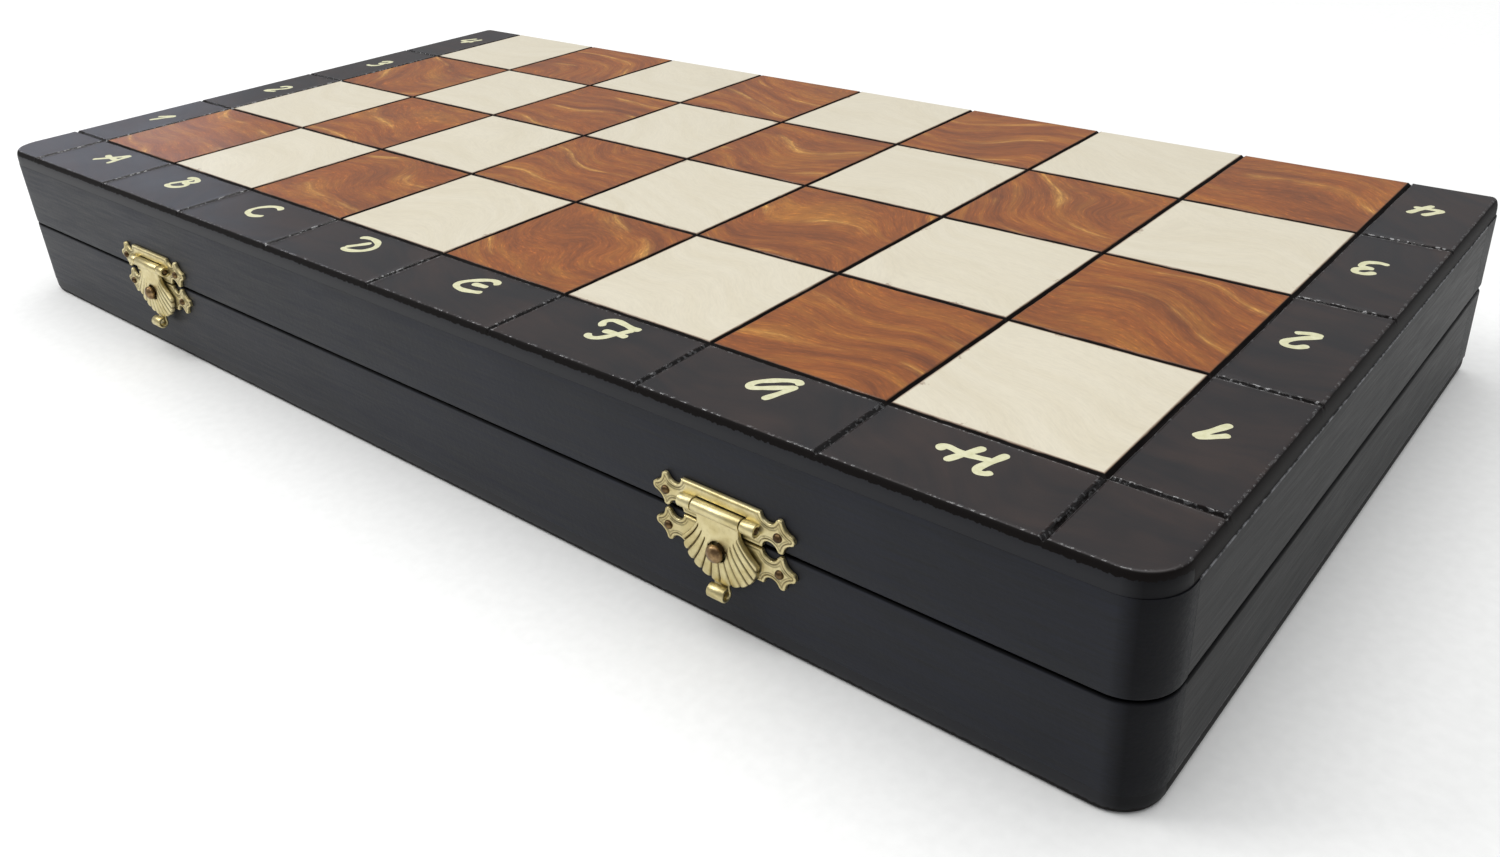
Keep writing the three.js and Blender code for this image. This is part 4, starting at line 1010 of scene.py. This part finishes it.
# Leaf with its own knuckles; its near edge steps back where the other leaf's knuckles turn
def hingeLeaf(half, side, material):
    length, knuckle = hinge["halfLength"], hinge["knuckleHalf"]
    outer = [[-length, -knuckle - 0.2], [knuckle + 0.2, length]]
    own = np.array([[-knuckle, knuckle]] if half == "upper" else outer)
    marks = np.unique(np.concatenate([own.ravel(), [-length, length]]))
    xs = np.sort(np.concatenate([stations(marks, 0.3), marks[1:-1]]))
    middle = (xs[1:] + xs[:-1]) / 2
    isOwn = np.array([((own[:, 0] - 1e-6 <= m) & (m <= own[:, 1] + 1e-6)).any() for m in middle])
    near = np.where(np.append(isOwn, isOwn[-1]) | np.append(isOwn[0], isOwn), -1.1, -2.3)
    doubled = np.flatnonzero(np.diff(xs) < 1e-9)
    near[doubled + (isOwn[np.clip(doubled - 1, 0, None)] * 1)] = -2.3
    near[doubled + (~isOwn[np.clip(doubled - 1, 0, None)] * 1)] = -1.1
    rows = np.linspace(0, 1, 25)
    x = np.repeat(xs[:, None], len(rows), 1)
    y = -hinge["leafBack"] + (near[:, None] + hinge["leafBack"]) * rows
    fromScrew = np.hypot(np.abs(x) - hinge["screwX"], y + hinge["screwBack"])
    sunk = np.clip((hinge["screwHead"] + 0.2 - fromScrew) * 1.2, 0, 0.6)
    top = np.stack([x, y, rimZ - jointZ - sunk], -1).reshape(-1, 3)
    under = np.stack([x, y, np.full_like(x, rimZ - jointZ - hinge["leafThick"])], -1).reshape(-1, 3)
    plate = thickened(top, under, gridFaces(*x.shape))
    blocks = [plate]
    for x0, x1 in own:
        blocks.append(tube(hinge["barrel"], hinge["pin"] + 0.15, x0, x1, ease=0.25))
    points, faces = joined(*blocks)
    points = points + [side * hinge["fromCentre"], backY + hinge["axisOut"], jointZ]
    word = sideWord((side < 0) == (half == "lower"))
    makePiece(f"{word}_hinge_{half}_leaf_rolled", (toHalf(points, half), faces), material,
              f"hinge_{word}_{half}_leaf", sharp=35)
    # Countersunk screw heads: a shallow dome with a straight slot
    radius = np.concatenate([np.linspace(0, 1.8, 19), [1.9, 1.98, 1.98]]) * hinge["screwHead"] / 2
    turn = fullTurn(72)
    sx, sy = radius[:, None] * np.cos(turn), radius[:, None] * np.sin(turn)
    slot = 0.3 * (np.abs(sx * 0.8 + sy * 0.6) < 0.28)
    level = (0.08 - 0.05 * radius ** 2)[:, None] - slot
    level[-2:] = [[-0.2], [-0.85]]
    head = np.stack([sx, sy, level], -1)
    for end, way in (("outer", -1), ("inner", 1)):
        at = np.array([side * hinge["fromCentre"] + way * hinge["screwX"],
                       backY + hinge["axisOut"] - hinge["screwBack"], rimZ])
        block = (head.reshape(-1, 3) + at, [gridFaces(len(radius), 72, wrapCols=True),
                                            (np.arange(72) + (len(radius) - 1) * 72)[None]])
        makePiece(f"{word}_hinge_{half}_{end}_screw", (toHalf(block[0], half), block[1]), material,
                  f"hinge_{word}_{half}_leaf", False, sharp=30)


# Pin of one hinge: a rod with eased ends, turned about X
def hingePin(side, material):
    length = hinge["halfLength"]
    points, faces = lathe([(0, -length), (0.6, -length + 0.03), (0.8, -length + 0.25), (0.8, length - 0.25),
                           (0.6, length - 0.03), (0, length)], 24)
    points = np.stack([points[:, 1] + side * hinge["fromCentre"], points[:, 0] + backY + hinge["axisOut"],
                       points[:, 2] + jointZ], -1)
    word = sideWord(side < 0)
    makePiece(f"{word}_hinge_pin_turned", (points, faces), material, f"hinge_{word}_pin",
              sharp=50)


plated = platedBrass()
for side in (-1, 1):
    hingeLeaf("lower", side, plated)
    hingeLeaf("upper", side, plated)
    hingePin(side, plated)
print("hinges made")


men = {
    "columns": [["pawn_a", "pawn_b"], ["pawn_c", "pawn_d"], ["rook_a"], ["knight_b"], ["bishop_c"], ["queen"],
                ["king"], ["bishop_f"], ["knight_g"], ["rook_h"], ["pawn_e", "pawn_f"], ["pawn_g", "pawn_h"]],
    "sides": 64,
    "felt": 0.7,            # thickness of the felt under each base
    "maple": "#DDBE86",
    "mapleDark": "#C79F62",
    "walnut": "#4A2614",
    "walnutDark": "#2C150B",
    "feltGreen": "#1F4A30",
}
# Turned profiles: (share of base radius, share of height); each row is one smooth run, ends meet as arrises
foot = [[(0.93, 0.0), (1.0, 0.02), (1.0, 0.05), (0.94, 0.07)], [(0.86, 0.075), (0.84, 0.09)],
        [(0.84, 0.09), (0.87, 0.11), (0.82, 0.13)]]
profiles = {
    "king": foot + [[(0.76, 0.135), (0.5, 0.2), (0.37, 0.32), (0.32, 0.46), (0.35, 0.55)],
                    [(0.5, 0.56), (0.58, 0.575), (0.5, 0.59)], [(0.4, 0.595), (0.47, 0.61), (0.4, 0.625)],
                    [(0.36, 0.63), (0.37, 0.66), (0.46, 0.76), (0.6, 0.86)], [(0.62, 0.865), (0.6, 0.88)],
                    [(0.54, 0.885), (0.36, 0.91), (0.14, 0.918), (0, 0.92)]],
    "queen": foot + [[(0.76, 0.135), (0.5, 0.2), (0.37, 0.32), (0.32, 0.47), (0.35, 0.57)],
                     [(0.5, 0.58), (0.58, 0.597), (0.5, 0.615)], [(0.4, 0.62), (0.46, 0.635), (0.4, 0.65)],
                     [(0.35, 0.655), (0.36, 0.69), (0.45, 0.79), (0.62, 0.9)], [(0.6, 0.915), (0.5, 0.905)],
                     [(0.42, 0.9), (0.3, 0.925), (0.16, 0.94)],
                     [(0.12, 0.942), (0.2, 0.965), (0.14, 0.99), (0, 0.998)]],
    "bishop": foot + [[(0.74, 0.135), (0.48, 0.21), (0.36, 0.33), (0.31, 0.46), (0.34, 0.53)],
                      [(0.5, 0.54), (0.56, 0.56), (0.48, 0.58)], [(0.38, 0.585), (0.44, 0.6), (0.36, 0.62)],
                      [(0.31, 0.625), (0.44, 0.69), (0.48, 0.76), (0.36, 0.86), (0.13, 0.93)],
                      [(0.12, 0.932), (0.19, 0.955), (0.14, 0.985), (0, 0.997)]],
    "rook": foot + [[(0.76, 0.135), (0.6, 0.22), (0.52, 0.38), (0.5, 0.58)],
                    [(0.6, 0.6), (0.66, 0.625), (0.6, 0.65)], [(0.56, 0.66), (0.6, 0.7), (0.7, 0.73)],
                    [(0.72, 0.74), (0.72, 0.99)], [(0.71, 1.0), (0.5, 1.0)], [(0.48, 0.99), (0.48, 0.88)],
                    [(0.46, 0.87), (0.2, 0.86), (0, 0.86)]],
    "pawn": foot + [[(0.74, 0.135), (0.48, 0.23), (0.36, 0.38), (0.33, 0.52)],
                    [(0.5, 0.55), (0.58, 0.575), (0.48, 0.6)], [(0.34, 0.615), (0.33, 0.64)],
                    [(0.33, 0.64), (0.5, 0.74), (0.52, 0.82), (0.4, 0.93), (0.2, 0.985), (0, 0.998)]],
    "knight": foot + [[(0.8, 0.135), (0.66, 0.19), (0.6, 0.24)],
                      [(0.66, 0.255), (0.7, 0.275), (0.66, 0.295)], [(0.6, 0.3), (0.3, 0.305), (0, 0.305)]],
}
# Horse's head seen from the side: (share of base radius, share of height, place along the spine from 0 to 5)
horse = {"outline": [(-0.5, 0.28, 0.0), (-0.66, 0.42, 0.6), (-0.7, 0.58, 1.5), (-0.55, 0.76, 2.3),
                     (-0.34, 0.88, 2.7), (-0.2, 0.98, 2.9), (-0.08, 0.9, 3.1), (0.12, 0.87, 3.4),
                     (0.42, 0.8, 4.0), (0.72, 0.72, 4.6), (0.84, 0.66, 5.0), (0.76, 0.58, 5.0),
                     (0.6, 0.585, 4.7), (0.42, 0.62, 4.1), (0.27, 0.6, 3.2), (0.22, 0.55, 2.1),
                     (0.4, 0.46, 1.0), (0.54, 0.36, 0.4), (0.52, 0.28, 0.0), (0.0, 0.26, 0.0)],
         "spine": [(0.0, 0.3), (-0.12, 0.48), (-0.18, 0.62), (-0.02, 0.71), (0.3, 0.71), (0.66, 0.66)],
         "thick": [0.36, 0.33, 0.32, 0.33, 0.26, 0.18], "eye": (0.16, 0.79), "nostril": (0.7, 0.665)}


# Profile of a man of this size: its runs of smooth curve, one after another, above the felt
def turnedProfile(kind, radius, height, feltThick):
    runs = [smoothCurve(run, 8 * len(run)) for run in profiles[kind]]
    line = np.concatenate(runs) * [radius, height - feltThick] + [0, feltThick]
    return np.concatenate([[[0, feltThick]], line])


# Turned body about Y, then what the carver does: battlements, coronet and mitre are functions of angle
# or place
def turnedMan(kind, radius, height):
    profile = turnedProfile(kind, radius, height, men["felt"])
    points, faces = lathe(profile, men["sides"] if kind != "rook" else 96)
    angle = np.arctan2(points[:, 2], points[:, 0])
    share = points[:, 1] / height
    if kind == "rook":
        gap = np.cos(6 * angle) < -0.45
        high = share > 0.88
        points[:, 1] = np.where(high & gap, 0.89 * height + (points[:, 1] - 0.88 * height) * 0.02,
                                points[:, 1])
    if kind == "queen":
        rim = (share > 0.86) & (share < 0.925) & (np.hypot(points[:, 0], points[:, 2]) > 0.38 * radius)
        points[:, 1] += np.where(rim,
                                 0.02 * height * np.cos(9 * angle) * np.clip((share - 0.86) / 0.04, 0, 1),
                                 0)
    if kind == "bishop":
        across = (points[:, 1] - 0.79 * height) * 0.8 - points[:, 0] * 0.6 + 0.16 * radius
        inFront = np.clip(points[:, 0] / (0.15 * radius), 0, 1) * (share > 0.66)
        cut = np.exp(-(across / (0.013 * height)) ** 2) * inFront
        points[:, [0, 2]] *= (1 - 0.32 * cut)[:, None]
    blocks = [(points, faces)]
    if kind == "king":
        blocks.append(crossFinial(height))
    if kind == "knight":
        blocks += horseHead(radius, height)
    felt, feltFaces = lathe([(0, 0), (0.9 * radius, 0), (0.94 * radius, 0.2), (0.93 * radius, men["felt"]),
                             (0, men["felt"])], men["sides"])
    body = joined(*blocks)
    whole = joined(body, (felt, feltFaces))
    kinds = [0] * len(body[1]) + [1] * len(feltFaces)
    return whole[0], whole[1], kinds


# Flared cross: four arms whose half width grows outwards, as rounded slices through its thickness
def crossFinial(height):
    size = 0.045 * height
    centre = 0.957 * height
    arm = np.array([(0.36, 0.36), (0.62, 1.0), (-0.62, 1.0), (-0.36, 0.36)]) * [1, 0.96]
    quarter = math.pi / 2
    turns = [np.array([[math.cos(a), -math.sin(a)], [math.sin(a), math.cos(a)]])
             for a in (0, quarter, 2 * quarter, -quarter)]
    outline = np.concatenate([arm @ turn.T for turn in turns])
    outline[:, 1] = np.where(outline[:, 1] < -0.6, -1.4, outline[:, 1])
    loops = []
    for share, deep in ((0.86, -0.3), (1, -0.2), (1, 0.2), (0.86, 0.3)):
        loops.append(np.column_stack([outline[:, 0] * size * share, outline[:, 1] * size * share + centre,
                                      np.full(len(outline), deep * size)]))
    return stack(np.array(loops))


# Horse's head: rows step from the side outline in to the spine, and the half thickness follows a quarter
# circle; the mane is a row of notches along the back, and eye and nostril are small domes and dents
def horseHead(radius, height):
    traced = smoothCurve(horse["outline"] + horse["outline"][:1], 220)[:-1]
    outline, count = traced[:, :2] * [radius, height], len(traced)
    spine = smoothCurve(horse["spine"], 60) * [radius, height]
    s = np.clip(traced[:, 2], 0, 5)
    centre = np.stack([np.interp(s, np.linspace(0, 5, 60), spine[:, k]) for k in (0, 1)], -1)
    t = np.linspace(0, 1, 16)[:, None, None]
    flat = outline[None] * (1 - t) + centre[None] * t
    deep = np.sqrt(1 - (1 - t[..., 0]) ** 2) ** 0.8 * np.interp(s, range(6), horse["thick"])[None] * radius
    along = np.arange(count) / count
    back = np.clip((0.36 - along) / 0.03, 0, 1) * np.clip((along - 0.06) / 0.03, 0, 1)
    mane = back * np.sin(along * 2 * np.pi * 34) * 0.05 * radius
    deep = deep + mane[None] * np.sin(np.pi * np.clip(t[..., 0] * 1.4, 0, 1))
    eye = np.hypot(flat[..., 0] - horse["eye"][0] * radius, flat[..., 1] - horse["eye"][1] * height)
    nostril = np.hypot(flat[..., 0] - horse["nostril"][0] * radius,
                       flat[..., 1] - horse["nostril"][1] * height)
    deep = deep + 0.07 * radius * np.exp(-(eye / (0.07 * radius)) ** 2)
    deep = deep - 0.06 * radius * np.exp(-(nostril / (0.06 * radius)) ** 2)
    deep[0] = 0
    blocks = []
    for way in (-1, 1):
        blocks.append((np.concatenate([flat, way * deep[..., None]], -1).reshape(-1, 3),
                       [gridFaces(len(t), count, wrapCols=True)]))
    return [joined(*blocks)]


# Turned maple or stained beech under a clear gloss lacquer: long grain along the piece, rings showing on
# the turns
def turnedWood(name, pale, dark):
    material, add, place = newMaterial(name)
    long = add("Mapping", {"Vector": place, "Scale": (1.0, 0.06, 1.0)})
    grain = add("TexNoise",
                {"Vector": long, "Scale": 1.1, "Detail": 5.0, "Roughness": 0.6, "Distortion": 0.3},
                out="Fac")
    cloud = add("TexNoise", {"Vector": long, "Scale": 0.2, "Detail": 3.0}, out="Fac")
    mixed = add("Math ADD", add("Math MULTIPLY", grain, 0.6), add("Math MULTIPLY", cloud, 0.4))
    tint = add("ValToRGB", mixed, stops=[(0.36, dark), (0.6, pale)])
    bump = add("Bump", {"Strength": 0.25, "Distance": 0.06 * mm, "Height": grain})
    closeMaterial(add, Base_Color=tint, Roughness=0.38, IOR=1.5, Normal=bump, Coat_Weight=0.35,
                  Coat_Roughness=0.15)
    return material


# Wool felt or flock: short fibres that scatter light at the edge
def flocked(name, tone, deepTone, fibre):
    material, add, place = newMaterial(name)
    nap = add("TexNoise", {"Vector": place, "Scale": fibre, "Detail": 4.0, "Roughness": 0.7}, out="Fac")
    brushed = add("TexNoise", {"Vector": place, "Scale": 0.06, "Detail": 3.0}, out="Fac")
    mixed = add("Math ADD", add("Math MULTIPLY", nap, 0.65), add("Math MULTIPLY", brushed, 0.35))
    tint = add("ValToRGB", mixed, stops=[(0.36, deepTone), (0.62, tone)])
    bump = add("Bump", {"Strength": 0.7, "Distance": 0.25 * mm, "Height": nap})
    closeMaterial(add, Base_Color=tint, Roughness=0.95, IOR=1.4, Normal=bump, Sheen_Weight=0.5,
                  Sheen_Roughness=0.5)
    return material


# Where a man lies, in the lower half's frame: (base centre, base radius, height, way its head points)
def manPlace(node, half, way):
    low, high = nodeBox(node)
    centre, radius = (low + high) / 2, (high[2] - low[2]) / 2
    if half == "upper":
        centre = centre * [-1, 1, 1] + [0, 0, caseHeight - 2 * centre[2]]
    height = high[1] - low[1]
    base = np.array([centre[0], low[1] if way > 0 else high[1], centre[2]])
    return base, radius, height


# The way each man's head points: pawns lie base to base, the other columns alternate
def waysOfMen():
    ways = {}
    for column, names in enumerate(men["columns"]):
        for n, name in enumerate(names):
            ways[name] = (-1, 1)[n] if len(names) == 2 else (-1 if column % 2 else 1)
    return ways


# All men of one half, each laid on its side in the place of its CAD node
def makeMen(half, side, woods):
    for name, way in waysOfMen().items():
        kind = name.split("_")[0]
        node = f"{side}_{name}"
        base, radius, height = manPlace(node, half, way)
        points, faces, kinds = turnedMan(kind, radius, height)
        points = points * [way, way, 1] + base
        makePiece(f"{side}_{name}_turned", (toHalf(points, half), faces, kinds), woods, node,
                  sharp=38)


tray = {
    "clear": 0.4,           # round each man
    "lip": 1.2,             # round at the top of each trough
    "flock": "#26405C",
    "flockDeep": "#13233A",
}


# Flocked insert: its height over the floor is the lowest of the U-shaped troughs, each with a rounded lip,
# sampled on lines that follow every trough's walls
def insertTray(half, side, material):
    low, high = nodeBox(f"{half}_insert_tray")
    if half == "upper":
        low, high = (np.array([low[0], low[1], caseHeight - high[2]]),
                     np.array([high[0], high[1], caseHeight - low[2]]))
    top, foot = high[2], low[2]
    ways = waysOfMen()
    troughs = []
    for names in men["columns"]:
        ends = [manPlace(f"{side}_{name}", half, ways[name]) for name in names]
        reach = [(base[1], base[1] + ways[name] * height) for (base, radius, height),
                 name in zip(ends, names)]
        base, radius = ends[0][0], ends[0][1] + tray["clear"]
        troughs.append((base[0], base[2], radius, np.min(reach) - tray["clear"],
                        np.max(reach) + tray["clear"]))
    turn = np.linspace(0, np.pi / 2, 10)
    lips = tray["lip"] * (1 - np.cos(np.linspace(0, np.pi / 2, 6)))
    xMarks, yMarks = ([low[0], low[0] + 0.4, high[0] - 0.4, high[0]],
                      [low[1], low[1] + 0.4, high[1] - 0.4, high[1]])
    for x0, z0, radius, y0, y1 in troughs:
        for way in (-1, 1):
            xMarks += list(x0 + way * np.concatenate([radius * np.sin(turn), radius + 0.02 + lips]))
        yMarks += [y0, y1] + list(y0 - 0.02 - lips) + list(y1 + 0.02 + lips)
    xMarks = [x for x in xMarks if low[0] <= x <= high[0]]
    yMarks = [y for y in yMarks if low[1] <= y <= high[1]]
    x, y = np.meshgrid(stations(xMarks, 2.5), stations(yMarks, 2.5), indexing="ij")
    z = np.full_like(x, top)
    for x0, z0, radius, y0, y1 in troughs:
        off = np.abs(x - x0)
        beyond = np.maximum(np.maximum(y0 - y, y - y1), 0)
        bottom = z0 - np.sqrt(np.clip(radius ** 2 - off ** 2, 0, None))
        out = np.hypot(np.maximum(off - radius, 0), beyond)
        wall = top - tray["lip"] * quarterFall(out / tray["lip"])
        z = np.minimum(z, np.where((off <= radius + 1e-6) & (beyond < 1e-6), bottom, wall))
    rim = np.minimum.reduce([x - low[0], high[0] - x, y - low[1], high[1] - y])
    z = np.minimum(z, top - 0.4 * (1 - np.clip(rim / 0.4, 0, 1)))
    upper = np.stack([x, y, z], -1).reshape(-1, 3)
    under = np.stack([x, y, np.full_like(x, foot)], -1).reshape(-1, 3)
    points, faces = thickened(upper, under, gridFaces(*x.shape))
    makePiece(f"{half}_insert_tray_flocked", (toHalf(points, half), faces), material,
              f"{half}_insert_tray", sharp=45)


maple = turnedWood("turned_maple_lacquered", men["maple"], men["mapleDark"])
walnut = turnedWood("turned_beech_stained_walnut", men["walnut"], men["walnutDark"])
baseFelt = flocked("green_wool_felt", men["feltGreen"], "#12301E", 2.4)
flock = flocked("blue_flock_on_moulded_insert", tray["flock"], tray["flockDeep"], 2.0)
for half, side, wood in (("lower", "white", maple), ("upper", "black", walnut)):
    makeMen(half, side, [wood, baseFelt])
    insertTray(half, side, flock)
print("men and trays made")


studio = {
    "lens": 30.25,
    "place": (0.2264, -0.2217, 0.1468),
    "azimuth": 39.91,
    "elevation": 26.84,
    "roll": 2.41,
    "shift": (-0.0241, -0.0457),
    "floor": "#F4F4F2",
    "world": "#F4F6FA",
    "worldStrength": 0.4,
    # name, place, target, size and power of each lamp, and its colour
    "lamps": [("softbox", (0, 0.1, 2.6), (0, 0, 0), (3.0, 3.0), 62.0, "#FFFFFF"),
              ("window", (-0.8, -0.5, 0.9), (0, 0, 0), (0.5, 0.5), 5.0, "#FFFFFF"),
              ("strip", (-0.76, 0.13, 0.22), (-0.1, 0, 0.04), (0.25, 0.12), 0.1, "#DCE6FF")],
}


# Roll of matt white paper: faint fibre clouds, no shine
def paperFloor():
    material, add, place = newMaterial("matt_paper")
    grain = add("TexNoise", {"Vector": place, "Scale": 0.4, "Detail": 3.0}, out="Fac")
    tint = add("ValToRGB", grain, stops=[(0.3, studio["floor"]), (0.7, "#F8F8F6")])
    closeMaterial(add, Base_Color=tint, Roughness=0.9, IOR=1.45)
    return material


def makeStage():
    size = 30.0
    mesh = bpy.data.meshes.new("floor")
    mesh.from_pydata([(-size, -size, 0), (size, -size, 0), (size, size, 0), (-size, size, 0)], [],
                     [(0, 1, 2, 3)])
    mesh.materials.append(paperFloor())
    floor = bpy.data.objects.new("floor", mesh)
    bpy.context.scene.collection.objects.link(floor)
    world = bpy.data.worlds.new("studio")
    world.use_nodes = True
    world.node_tree.nodes["Background"].inputs[0].default_value = colour(studio["world"])
    world.node_tree.nodes["Background"].inputs[1].default_value = studio["worldStrength"]
    bpy.context.scene.world = world
    bpy.context.scene.view_settings.view_transform = "Standard"


def areaLight(name, place, target, size, power, tint):
    data = bpy.data.lights.new(name, "AREA")
    data.shape = "RECTANGLE"
    data.size, data.size_y = size
    data.energy = power
    data.color = colour(tint)[:3]
    lamp = bpy.data.objects.new(name, data)
    lamp.location = place
    lamp.rotation_euler = (Vector(target) - Vector(place)).to_track_quat("-Z", "Y").to_euler()
    bpy.context.scene.collection.objects.link(lamp)


# Looks along the azimuth and down by the elevation, then rolls about its own line of sight
def makeCamera():
    data = bpy.data.cameras.new("camera")
    data.lens = studio["lens"]
    data.sensor_width = 36.0
    data.shift_x, data.shift_y = studio["shift"]
    data.clip_start = 0.01
    camera = bpy.data.objects.new("camera", data)
    turn, rise = math.radians(studio["azimuth"]), math.radians(studio["elevation"])
    look = Vector((-math.sin(turn) * math.cos(rise), math.cos(turn) * math.cos(rise), -math.sin(rise)))
    rotation = Quaternion(look, math.radians(studio["roll"])) @ look.to_track_quat("-Z", "Y")
    camera.rotation_mode = "QUATERNION"
    camera.rotation_quaternion = rotation
    camera.location = studio["place"]
    bpy.context.scene.collection.objects.link(camera)
    bpy.context.scene.camera = camera


makeStage()
for lamp in studio["lamps"]:
    areaLight(*lamp)
makeCamera()
print("studio ready")
